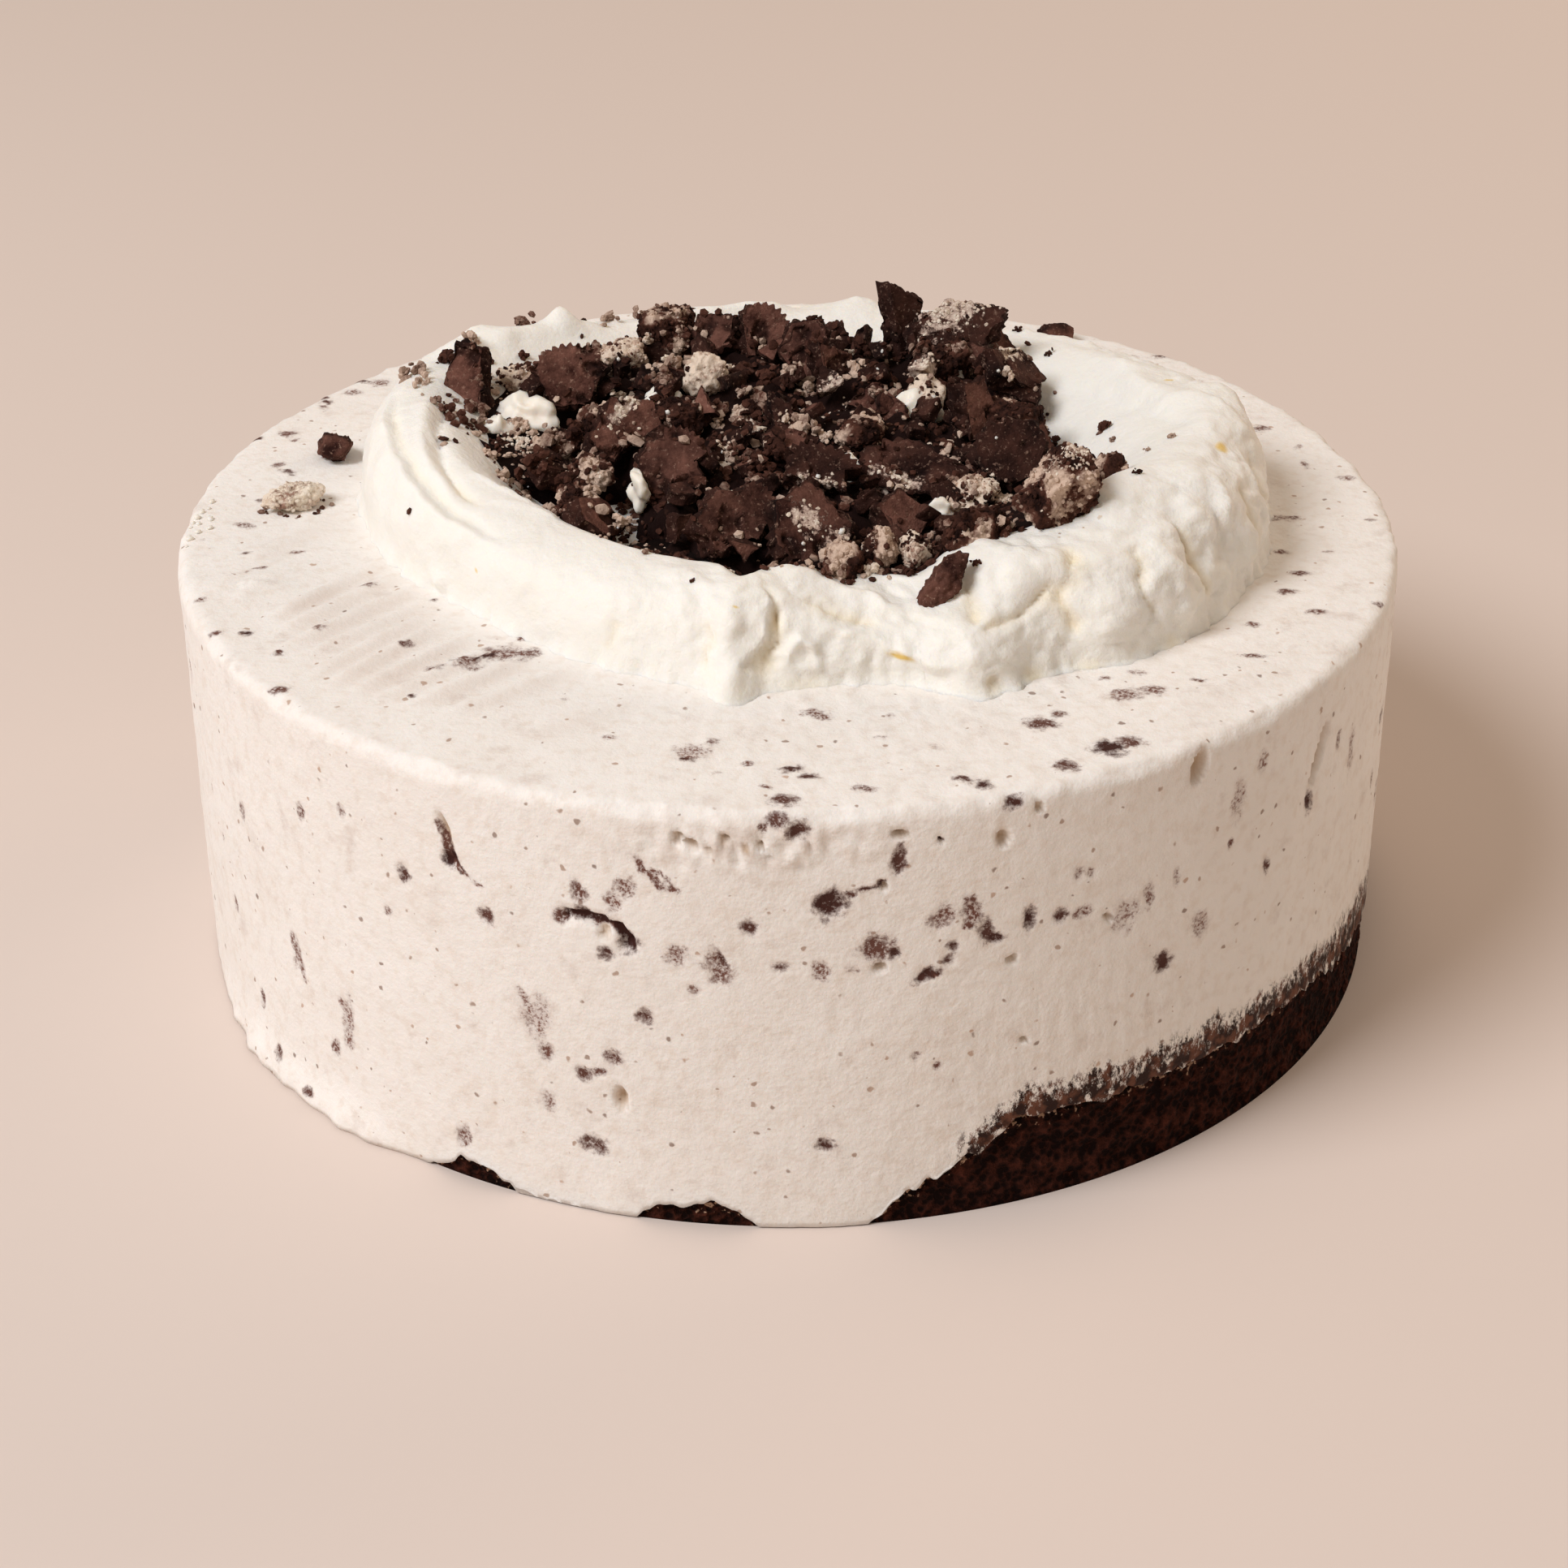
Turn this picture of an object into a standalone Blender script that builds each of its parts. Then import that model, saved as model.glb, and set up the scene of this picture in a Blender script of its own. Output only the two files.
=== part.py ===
"""Round cookies-and-cream ice cream cake: sponge base, ice cream body, whipped cream ring, broken cookies.

Metres, +Z up. The origin is the middle of the face that the cake rests on. -Y is the cake's front and +X its
right. An azimuth is in degrees, counted from the front towards the right.
"""

import math
import random

import bmesh
import bpy
from mathutils import Euler, Matrix, Vector, noise

MM = 0.001
GAP = 0.3 * MM  # left between solids that touch

# Ice cream body: a nine inch cake ring, unmoulded
CAKE_RADIUS = 114.3 * MM
CAKE_HEIGHT = 81.6 * MM
RIM_ROUND = 2.6 * MM
WAVER = 0.35 * MM  # how far the side leaves a true cylinder
AROUND = 90  # steps round the turned pieces

# Sponge base, shown where the ice cream stops short of it
SPONGE_THICKNESS = 17.4 * MM
SKIRT_THICKNESS = 3.6 * MM  # at its top, of the ice cream that runs down over the sponge and thins to its edge
SPONGE_INSET = 0.7 * MM  # from the cake's side, where the sponge shows
SPONGE_CRUMB = 0.7 * MM  # relief of the sponge's cut side
# Height at which the ice cream thins to nothing, as (azimuth, mm). Below zero it reaches the base with some left
SKIRT_EDGE = (
    (-160, -2), (-120, -3), (-60, -3), (-37, -2), (-33, 1), (-30, 4.6), (-27, 3), (-23, -1), (-15, -1), (-11, 4.3),
    (-5, 4.2), (-2, -1), (5, -1), (9, 4.8), (12, 8.0), (16, 13.0), (20, 17.4), (54, 17.4), (62, 14.6), (70, 13.0),
    (95, 8.5), (112, 4.0), (125, 0),
)  # fmt: skip
ICE_CREAM_FOOT = 0.3 * MM  # the ice cream ends this far above the base

# Whipped cream: a ring with a bed inside it, as (azimuth, mm) round the cake
CREAM_OUTLINE = (
    (-180, 81), (-150, 80), (-125, 87), (-100, 83), (-75, 75), (-50, 69), (-28, 70), (-13, 72), (-8, 78), (-3, 72.5),
    (10, 70), (17, 74), (24, 82), (33, 79.5), (45, 86), (60, 88), (80, 90.5), (100, 89), (120, 82), (150, 81),
)  # fmt: skip
CREAM_CREST = (
    (-180, 15), (-150, 16), (-125, 19), (-100, 19), (-75, 17), (-45, 15), (-20, 15), (-8, 16), (10, 12.5), (22, 13),
    (38, 20), (60, 22), (90, 22), (115, 18), (150, 15),
)  # fmt: skip
CREST_INSET = ((-180, 14), (-110, 12), (-45, 15), (0, 16), (40, 22), (90, 12), (135, 13))
BED_THICKNESS = 5.0 * MM
BED_RADIUS = 43.0 * MM  # the bed slopes up from here to the crest
CREAM_LUMP = 2.2 * MM  # relief where the cream is lumpy
LUMP_LENGTH = 15.0 * MM
CREAM_CALM = ((-150, 0.35), (-60, 0.15), (-20, 0.3), (10, 0.9), (60, 1.0), (105, 0.8), (150, 0.4))
# Shares of the ring's radius at which its turned form has the bed's edge and the crest
BED_EDGE, CREST = 0.6, 0.8

# Cookie heap
WAFER = 5.0 * MM  # thickness of one wafer
# The heap's edge, as (azimuth, mm) round the cake
HEAP_OUTLINE = (
    (-155, 56), (-138, 61), (-118, 66), (-105, 64), (-89, 57), (-78, 49), (-57, 45), (-40, 50), (-19, 52), (-5, 54),
    (10, 57), (28, 57), (42, 61), (55, 64), (72, 61), (96, 54), (113, 54), (131, 60), (145, 62), (165, 55),
)  # fmt: skip
HEAP_EDGE, HEAP_RISE = 10 * MM, 6 * MM  # above the ice cream at the edge, and the rise to the middle
HEAP_BACK = 5 * MM  # how much higher the back of the heap is
HEAP_COVER = 4 * MM  # on the cream's slope
HEAP_RELIEF = 2.2 * MM
SMALL_PIECES = 40
HEAP_SEED = 6
# Broken wafers: x, y and height above the ice cream, then length and width, all in mm, then turn, lean and roll
WAFERS = (
    (-62, 22, 19, 14, 11, 70, 62, 8), (-42, 22, 19, 15, 12, 10, 58, -12), (-14, 44, 20, 10, 9, -35, 40, 10),
    (-5, 41, 20, 11, 10, 15, 60, 0), (4, 34, 20, 11, 11, -10, 40, 20), (8, 24, 19, 13, 9, 55, 50, 15),
    (23, 39, 24, 11, 9, 75, 70, 0), (34, 36, 22, 20, 14, 12, 35, -14), (43, 24, 19, 16, 8, 38, 45, 25),
    (-31, 3, 16, 18, 10, 55, 35, -20), (0, 5, 16, 15, 14, 5, 28, 6), (-21, -17, 16, 17, 12, -80, 30, 10),
    (-10, -38, 16, 18, 11, 48, 40, -10), (6, -21, 18, 15, 8, -8, 20, 15), (3, -43, 17, 17, 14, 10, 34, 12),
    (23, -17, 16, 21, 11, -12, 18, 8), (20, -34, 15, 10, 8, 30, 40, 0), (33, -38, 13, 15, 8, -5, 20, 10),
    (35, 6, 18, 15, 8, 78, 60, 10), (41, -14, 18, 13, 12, 20, 30, -8), (-35, -31, 13, 10, 9, 20, 25, 30),
    (-25, 26, 16, 12, 9, 110, 30, 20), (18, 14, 15, 12, 9, -30, 25, 10), (-44, -6, 12, 9, 7, 40, 20, 20),
)  # fmt: skip
# Lumps of crumb and filling: x, y and height above the ice cream, then the three sizes, in mm
LUMPS = (
    (-52, 31, 15, 9, 8, 7), (-33, 36, 17, 15, 9, 8), (-16, 25, 19, 10, 9, 8), (-23, 45, 20, 13, 11, 11),
    (27, 17, 17, 9, 7, 7), (47, -35, 18, 16, 15, 15), (33, -25, 15, 10, 9, 7), (9, -50, 14, 10, 8, 7),
    (58, -18, 13, 6, 5, 6), (-53, 13, 12, 8, 6, 5), (-7, 12, 14, 9, 8, 6), (-13, -5, 14, 8, 7, 6),
)  # fmt: skip
FRONT_WAFER = (26, -60, 14, 9, 7, 60, 30, 20)  # a wafer that lies by itself on the cream, in the same terms

# Loose pieces on the ice cream: x, y, length, width and height, in mm, and the turn
LEFT_WAFER = (-89, 28, 9, 7, 5, 25)
BACK_WAFER = (58, 89, 8, 5, 4, -15)
FILLING_CRUMB = (-94, 5, 12, 8, 4, -10)

# Cookie bits that stand a little proud of the ice cream, in mm: azimuth, height and size on the side, ...
SIDE_BITS = (
    (-34.6, 59, 3.6), (-26, 56, 3.2), (-17, 59.5, 6.0), (-13.6, 55.4, 5.0), (-6, 53, 5.2), (-3.3, 60, 3.2),
    (3.1, 64.7, 6.4), (8.7, 72, 4.2), (16.2, 56.7, 3.6), (7, 55.7, 5.0), (11, 49.4, 5.2), (33.5, 41.5, 4.0),
    (-17.1, 14, 4.4), (-12.3, 42, 3.2), (-50, 30, 4.0), (52, 58, 3.6), (2.8, 17.5, 3.0), (-21.7, 38, 4.2),
)  # fmt: skip
# ... and x, y and size on the top
TOP_BITS = (
    (-96, -48, 2.6), (-48, -59, 6.0), (-54, -60, 4.0), (-16, -93, 3.4), (42, -84, 4.4), (52, -93, 5.6),
    (45, -99, 4.0), (28, -103, 2.6), (75, -82, 2.6), (94, -43, 4.6), (90, -35, 4.0), (91, -18, 3.4), (71, -68, 3.4),
    (79, 79, 4.0), (-106, 39, 3.0), (-89, 69, 3.0),
)  # fmt: skip
BIT_PROUD = 0.7 * MM
HIDDEN_SIDE_BITS = 14  # scattered over the sides that the front view doesn't show
# Hollows left by bubbles in the side, in mm: azimuth, height, width, length and tilt
HOLLOWS = (
    (36.4, 77.5, 3.4, 7.0, -20), (53.4, 66.4, 2.6, 12.0, -24), (-29.8, 70, 2.4, 8.0, 16), (17.4, 74, 3.2, 4.2, 0),
    (8.8, 77, 4.0, 2.4, 0), (-14.6, 24.5, 3.2, 6.0, 0), (-165, 58, 3.0, 6.5, 20), (120, 66, 3.0, 7.0, -15),
    (-100, 40, 3.0, 5.0, 0),
)  # fmt: skip
HOLLOW_DEPTH = 2.2 * MM


def smooth_step(low, high, value):
    share = min(max((value - low) / (high - low), 0.0), 1.0)
    return share * share * (3 - 2 * share)


def around(points, azimuth):
    """A smooth curve through (azimuth, value) points that closes on itself."""
    count = len(points)
    turns = math.floor((azimuth - points[0][0]) / 360)
    azimuth -= 360 * turns

    def point(i):
        lap, k = divmod(i, count)
        return points[k][0] + 360 * lap, points[k][1]

    i = max(k for k in range(count) if points[k][0] <= azimuth)
    (a0, v0), (a1, v1), (a2, v2), (a3, v3) = (point(i + k) for k in (-1, 0, 1, 2))
    t = (azimuth - a1) / (a2 - a1)
    slope1 = (v2 - v0) / (a2 - a0) * (a2 - a1)
    slope2 = (v3 - v1) / (a3 - a1) * (a2 - a1)
    # A knot that is higher or lower than both neighbours is flat, so the curve stays between its points
    slope1 = slope1 if (v2 - v1) * (v1 - v0) > 0 else 0.0
    slope2 = slope2 if (v3 - v2) * (v2 - v1) > 0 else 0.0
    return (
        (2 * t**3 - 3 * t**2 + 1) * v1 + (t**3 - 2 * t**2 + t) * slope1 + (3 * t**2 - 2 * t**3) * v2
        + (t**3 - t**2) * slope2
    )  # fmt: skip


def azimuth_of(point):
    return math.degrees(math.atan2(point.x, -point.y))


def on_cake(azimuth, radius, height):
    angle = math.radians(azimuth)
    return Vector((radius * math.sin(angle), -radius * math.cos(angle), height))


def clear_scene():
    for obj in list(bpy.data.objects):
        bpy.data.objects.remove(obj, do_unlink=True)


def make_collection(name):
    collection = bpy.data.collections.new(name)
    bpy.context.scene.collection.children.link(collection)
    return collection


def make_material(name, hex_colour, roughness):
    """A Principled material. The colour is sRGB hex, turned to linear."""
    material = bpy.data.materials.new(name)
    material.use_nodes = True
    shader = material.node_tree.nodes["Principled BSDF"]
    channels = [int(hex_colour[i : i + 2], 16) / 255 for i in (1, 3, 5)]
    linear = [c / 12.92 if c <= 0.04045 else ((c + 0.055) / 1.055) ** 2.4 for c in channels]
    shader.inputs["Base Color"].default_value = (*linear, 1.0)
    shader.inputs["Roughness"].default_value = roughness
    shader.inputs["Metallic"].default_value = 0.0
    return material


def add_object(name, mesh, collection):
    obj = bpy.data.objects.new(name, mesh)
    collection.objects.link(obj)
    return obj


def from_bmesh(name, bm, collection):
    mesh = bpy.data.meshes.new(name)
    bm.to_mesh(mesh)
    bm.free()
    return add_object(name, mesh, collection)


def apply_modifiers(obj):
    """Replaces the object's mesh by what its modifiers make of it."""
    bpy.context.view_layer.update()
    graph = bpy.context.evaluated_depsgraph_get()
    mesh = bpy.data.meshes.new_from_object(obj.evaluated_get(graph))
    obj.modifiers.clear()
    obj.data = mesh
    return obj


def turned(name, profile, collection, steps=AROUND):
    """A profile of (radius, height) points, from the top centre outwards and down, turned about the Z axis."""
    mesh = bpy.data.meshes.new(name)
    mesh.from_pydata([(r, 0, z) for r, z in profile], [(i, i + 1) for i in range(len(profile) - 1)], [])
    obj = add_object(name, mesh, collection)
    screw = obj.modifiers.new("Turn", "SCREW")
    screw.steps = screw.render_steps = steps
    screw.use_merge_vertices = True
    screw.merge_threshold = 0.01 * MM
    return apply_modifiers(obj)


def move_points(obj, move):
    for vertex in obj.data.vertices:
        vertex.co = move(vertex.co.copy())
    obj.data.update()
    return obj


def boolean(obj, operation, collection, solver="EXACT"):
    """One Boolean with everything in the collection, applied. Its objects are then removed."""
    modifier = obj.modifiers.new(operation.title(), "BOOLEAN")
    modifier.operation = operation
    modifier.operand_type = "COLLECTION"
    modifier.collection = collection
    modifier.solver = solver
    apply_modifiers(obj)
    for used in list(collection.objects):
        bpy.data.objects.remove(used, do_unlink=True)
    bpy.data.collections.remove(collection)
    return obj


def keep_largest_body(obj):
    """Drops loose scraps, and the walls of any hollow that fusing has sealed."""
    bm = bmesh.new()
    bm.from_mesh(obj.data)
    left = set(bm.faces)
    bodies = []
    while left:
        body, front = set(), [left.pop()]
        while front:
            face = front.pop()
            body.add(face)
            near = {f for edge in face.edges for f in edge.link_faces} & left
            left -= near
            front.extend(near)
        bodies.append(body)
    bodies.sort(key=lambda body: sum(face.calc_area() for face in body))
    for body in bodies[:-1]:
        bmesh.ops.delete(bm, geom=list(body), context="FACES")
    bmesh.ops.delete(bm, geom=[v for v in bm.verts if not v.link_faces], context="VERTS")
    bm.to_mesh(obj.data)
    bm.free()
    return obj


def skirt_edge(azimuth):
    """Height at which the ice cream's skirt over the sponge has thinned to nothing."""
    return min(around(SKIRT_EDGE, azimuth) * MM, SPONGE_THICKNESS)


def skirt_slope(azimuth):
    """Height lost for each metre that the skirt's inner face goes outwards."""
    return (SPONGE_THICKNESS + GAP - skirt_edge(azimuth)) / SKIRT_THICKNESS


def sponge_radius(azimuth, height):
    """Radius of the sponge's side, inside the skirt and just inside the cake's side."""
    skirt = CAKE_RADIUS - GAP - (height + GAP - skirt_edge(azimuth)) / skirt_slope(azimuth)
    return min(skirt, CAKE_RADIUS - SPONGE_INSET)


def make_sponge(collection):
    """The sponge disc, cut flat below, with a crumbly side."""
    lower_rows = (1.0, 0.7, 0.35, 0.0)
    profile = [(0, 2.0), (CAKE_RADIUS, 2.0)] + [(CAKE_RADIUS, share) for share in lower_rows] + [(0, 0)]
    sponge = turned("sponge_base", profile, collection)

    def crumble(point):
        if Vector(point.xy).length < CAKE_RADIUS / 2:
            return Vector((0, 0, SPONGE_THICKNESS if point.z > 1.5 else 0))
        azimuth = azimuth_of(point)
        shoulder = min(max(skirt_edge(azimuth), 0.3 * SPONGE_THICKNESS), 0.97 * SPONGE_THICKNESS)
        height = SPONGE_THICKNESS if point.z > 1.5 else shoulder * point.z
        side = on_cake(azimuth, sponge_radius(azimuth, height), height)
        rough = SPONGE_CRUMB * abs(noise.noise(side / (4 * MM)))
        return on_cake(azimuth, sponge_radius(azimuth, height) - rough, height)

    return move_points(sponge, crumble)


def make_pocket(collection):
    """The cutter that leaves room in the ice cream for the sponge and thins the skirt over it to an edge."""
    top, past = SPONGE_THICKNESS + GAP, 2 * MM
    shoulder, outer = CAKE_RADIUS - SKIRT_THICKNESS, CAKE_RADIUS + past
    profile = [(0, top), (shoulder, top), (outer, 0), (outer, -20 * MM), (0, -20 * MM)]
    pocket = turned("pocket", profile, collection)

    def fit(point):
        if Vector(point.xy).length < CAKE_RADIUS or point.z < -MM:
            return point
        azimuth = azimuth_of(point)
        return on_cake(azimuth, outer, skirt_edge(azimuth) - past * skirt_slope(azimuth))

    return move_points(pocket, fit)


def make_ice_cream(collection):
    """The ice cream body: a turned block with a soft rim, an uneven lower edge, bits and bubbles."""
    rim = [
        (CAKE_RADIUS - RIM_ROUND * (1 - math.sin(a)), CAKE_HEIGHT - RIM_ROUND * (1 - math.cos(a)))
        for a in (math.radians(d) for d in (0, 30, 60, 90))
    ]
    side = [(CAKE_RADIUS, h * MM) for h in (68, 54, 40, 28, 19, 10, 0)]
    inner = CAKE_RADIUS - 12 * MM
    profile = [(0, CAKE_HEIGHT), (0.8 * CAKE_RADIUS, CAKE_HEIGHT), *rim, *side, (inner, 0), (0, 0)]
    body = turned("ice_cream", profile, collection)

    def settle(point):
        radius = Vector(point.xy).length
        if radius < 0.85 * CAKE_RADIUS:
            return point
        azimuth = azimuth_of(point)
        # The rows near the lower edge close up, and the pocket's cutter then trims the edge to its line
        edge = max(skirt_edge(azimuth) - 2 * MM, ICE_CREAM_FOOT)
        height = max(point.z, edge + 0.02 * point.z)
        waver = WAVER * noise.noise(point / (30 * MM))
        if point.z > CAKE_HEIGHT - RIM_ROUND:
            waver = -abs(waver)
            height -= 0.6 * MM * abs(noise.noise(point / (14 * MM)))
        return on_cake(azimuth, radius + waver, height)

    move_points(body, settle)
    body.data.materials.clear()
    cutters = make_collection("ice cream cutters")
    make_pocket(cutters)
    for azimuth, height, width, length, tilt in HOLLOWS:
        make_hollow(azimuth, height * MM, width * MM, length * MM, tilt, cutters)
    boolean(body, "DIFFERENCE", cutters, solver="MANIFOLD")
    bits = make_collection("ice cream bits")
    add_bits(bits)
    boolean(body, "UNION", bits, solver="MANIFOLD")
    return keep_largest_body(body)


def make_hollow(azimuth, height, width, length, tilt, collection):
    """A smooth bubble in the side, cut by a stretched ball."""
    bm = bmesh.new()
    bmesh.ops.create_icosphere(bm, subdivisions=2, radius=1.0)
    size = Matrix.Diagonal((width / 2, HOLLOW_DEPTH, length / 2, 1.0))
    turn = Matrix.Rotation(math.radians(azimuth), 4, "Z") @ Matrix.Rotation(math.radians(tilt), 4, "Y")
    place = Matrix.Translation(on_cake(azimuth, CAKE_RADIUS + 0.2 * MM, height))
    bm.transform(place @ turn @ size)
    return from_bmesh("hollow", bm, collection)


def add_bit(point, outward, size, rng, collection):
    """A flat cookie bit, sunk so that only its outer side stands proud of the surface."""
    bm = bmesh.new()
    bmesh.ops.create_icosphere(bm, subdivisions=1, radius=0.5)
    for vertex in bm.verts:
        vertex.co *= rng.uniform(0.8, 1.2)
    depth = 2 * BIT_PROUD + 0.25 * size
    turn = outward.to_track_quat("Z", "Y").to_matrix().to_4x4()
    spin = Matrix.Rotation(rng.uniform(0, math.tau), 4, "Z")
    shape = Matrix.Diagonal((size, size * rng.uniform(0.5, 0.8), depth, 1.0))
    sunk = point - outward * (0.5 * depth - BIT_PROUD)
    bm.transform(Matrix.Translation(sunk) @ turn @ spin @ shape)
    return from_bmesh("bit", bm, collection)


def add_bits(collection):
    rng = random.Random(11)
    side = [(azimuth, height, size) for azimuth, height, size in SIDE_BITS]
    step = 250 / HIDDEN_SIDE_BITS
    for i in range(HIDDEN_SIDE_BITS):
        side.append((75 + step * (i + rng.random()), rng.uniform(26, 76), rng.uniform(3, 5.5)))
    for azimuth, height, size in side:
        outward = on_cake(azimuth, 1.0, 0.0)
        add_bit(on_cake(azimuth, CAKE_RADIUS, height * MM), outward, size * MM, rng, collection)
    for x, y, size in TOP_BITS:
        add_bit(Vector((x * MM, y * MM, CAKE_HEIGHT)), Vector((0, 0, 1)), size * MM, rng, collection)


def crest_of(azimuth):
    """Radius and height above the ice cream of the whipped cream's crest."""
    radius = around(CREAM_OUTLINE, azimuth) - around(CREST_INSET, azimuth)
    return radius * MM, around(CREAM_CREST, azimuth) * MM


def cream_inside(azimuth, radius):
    """Height of the bed and of the slope that rises from it to the crest."""
    crest_radius, crest_height = crest_of(azimuth)
    rise = smooth_step(BED_RADIUS, crest_radius, radius)
    return BED_THICKNESS + (crest_height - BED_THICKNESS) * rise


def cream_profile():
    """The cream's turned form: radius as a share of the whole, height as a share of the crest's."""
    slope = [(BED_EDGE + (CREST - BED_EDGE) * s, 1.0) for s in (0, 0.3, 0.55, 0.8, 1)]
    outer = [
        (CREST + (1 - CREST) * math.sin(a) ** 0.8, math.cos(a) ** 0.85)
        for a in (math.radians(d) for d in (20, 40, 58, 74, 86))
    ]
    return [(0, 1.0), (0.4, 1.0), *slope, *outer, (0.985, 0.0), (0, 0.0)]


def cream_point(point, swell=0.0):
    """Moves a point of the turned form to its place on the cake. A swell grows the cream up and outwards."""
    share, height_share = Vector(point.xy).length, point.z
    azimuth = azimuth_of(point)
    outline = around(CREAM_OUTLINE, azimuth) * MM
    crest_radius, crest_height = crest_of(azimuth)
    if share <= BED_EDGE:
        radius = BED_RADIUS * share / BED_EDGE
    elif share <= CREST:
        radius = BED_RADIUS + (crest_radius - BED_RADIUS) * (share - BED_EDGE) / (CREST - BED_EDGE)
    else:
        radius = crest_radius + (outline - crest_radius) * (share - CREST) / (1 - CREST)
    full = crest_height if share > CREST else cream_inside(azimuth, radius)
    place = on_cake(azimuth, radius, CAKE_HEIGHT + GAP + full * height_share)
    if height_share > 0.05 and share > 0.4:
        calm = around(CREAM_CALM, azimuth)
        lump = CREAM_LUMP * calm * noise.noise(place / LUMP_LENGTH)
        place += on_cake(azimuth, lump * smooth_step(0.4, 0.8, share), lump * smooth_step(0.1, 0.6, height_share))
    return place + on_cake(azimuth, swell * smooth_step(CREST, 1.0, share), swell)


def make_cream(name, collection, swell=0.0):
    cream = turned(name, cream_profile(), collection)
    return move_points(cream, lambda p: cream_point(p, swell))


def make_cream_cutter(collection):
    """The cream grown by the gap and carried down, to cut what lies on it."""
    cutter = make_cream("grown cream", collection, swell=1.5 * GAP)
    for vertex in cutter.data.vertices:
        if vertex.co.z < CAKE_HEIGHT + 3 * GAP:
            vertex.co.z = CAKE_HEIGHT - 6 * MM
    return cutter


def add_shard(spec, rng, collection, name="shard", thickness=WAFER):
    """A broken wafer: a flat piece of seven uneven sides."""
    x, y, z, length, width, turn, lean, roll = spec
    bm = bmesh.new()
    outline = bmesh.ops.create_circle(bm, cap_ends=True, segments=7, radius=0.5)["verts"]
    for vertex in outline:
        vertex.co *= rng.uniform(0.82, 1.15)
    side = bmesh.ops.extrude_face_region(bm, geom=bm.faces[:])["geom"]
    raised = [v for v in side if isinstance(v, bmesh.types.BMVert)]
    for vertex in raised:
        vertex.co.z = 1.0
        vertex.co.xy *= rng.uniform(0.86, 1.0)
    bmesh.ops.recalc_face_normals(bm, faces=bm.faces[:])
    centre = Matrix.Translation((0, 0, -0.5))
    size = Matrix.Diagonal((length * MM, width * MM, thickness, 1.0))
    turned_by = Euler([math.radians(a) for a in (lean, roll, turn)]).to_matrix().to_4x4()
    place = Matrix.Translation((x * MM, y * MM, CAKE_HEIGHT + z * MM))
    bm.transform(place @ turned_by @ size @ centre)
    return from_bmesh(name, bm, collection)


def add_lump(spec, rng, collection, name="lump", detail=2):
    """A rounded lump of crumb or filling."""
    x, y, z, length, width, height = spec
    bm = bmesh.new()
    bmesh.ops.create_icosphere(bm, subdivisions=detail, radius=0.5)
    for vertex in bm.verts:
        vertex.co *= rng.uniform(0.84, 1.14)
    turned_by = Matrix.Rotation(rng.uniform(0, math.tau), 4, "Z")
    size = Matrix.Diagonal((length * MM, width * MM, height * MM, 1.0))
    place = Matrix.Translation((x * MM, y * MM, CAKE_HEIGHT + z * MM))
    bm.transform(place @ turned_by @ size)
    return from_bmesh(name, bm, collection)


def heap_point(azimuth, share):
    """A point of the core's top, at a share of the way from the middle to the heap's edge."""
    radius = share * around(HEAP_OUTLINE, azimuth) * MM
    flat = on_cake(azimuth, radius, 0)
    relief = HEAP_RELIEF * noise.noise(flat / (9 * MM))
    dome = HEAP_EDGE + HEAP_RISE * (1 - share**3) + HEAP_BACK * smooth_step(-10 * MM, 40 * MM, flat.y)
    on_slope = cream_inside(azimuth, radius) + HEAP_COVER * (1 - share**8)
    return on_cake(azimuth, radius, CAKE_HEIGHT + max(dome, on_slope) + relief)


def make_heap(collection):
    """Crushed cookies: a low uneven core with the pieces that show fused on, cut to lie on the cream."""
    rings = (0.0, 0.2, 0.4, 0.6, 0.8, 0.92, 1.0)
    profile = [(share, 1.0) for share in rings] + [(1.0, 0.0), (0, 0.0)]
    heap = turned("cookie_heap", profile, collection, steps=40)

    def heaped(point):
        top = heap_point(azimuth_of(point), Vector(point.xy).length)
        return top if point.z > 0.5 else Vector((top.x, top.y, CAKE_HEIGHT))

    move_points(heap, heaped)
    rng = random.Random(HEAP_SEED)
    pieces = make_collection("heap pieces")
    for spec in WAFERS:
        add_shard(spec, rng, pieces)
    for spec in LUMPS:
        add_lump(spec, rng, pieces)
    golden = 180 * (3 - math.sqrt(5))
    for i in range(SMALL_PIECES):
        size = rng.uniform(5, 8)
        top = heap_point(i * golden, 0.96 * math.sqrt((i + 0.5) / SMALL_PIECES))
        spot = (top.x / MM, top.y / MM, (top.z - CAKE_HEIGHT) / MM + 0.15 * size)
        if i % 3:
            turns = (rng.uniform(0, 360), rng.uniform(10, 60), rng.uniform(-30, 30))
            add_shard((*spot, size * 1.3, size, *turns), rng, pieces, thickness=0.6 * WAFER)
        else:
            add_lump((*spot, size, size * 0.9, size * 0.8), rng, pieces, detail=1)
    boolean(heap, "UNION", pieces, solver="MANIFOLD")
    rest_on_cream(heap)
    return heap


def rest_on_cream(obj):
    """Cuts away what would be inside the cream, with the gap that touching solids keep."""
    cutters = make_collection("cream cutter")
    make_cream_cutter(cutters)
    boolean(obj, "DIFFERENCE", cutters, solver="MANIFOLD")
    return keep_largest_body(obj)


def make_front_wafer(collection):
    """The broken wafer that lies on the cream at the front, bedded in it."""
    return rest_on_cream(add_shard(FRONT_WAFER, random.Random(3), collection, name="front_wafer"))


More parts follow.
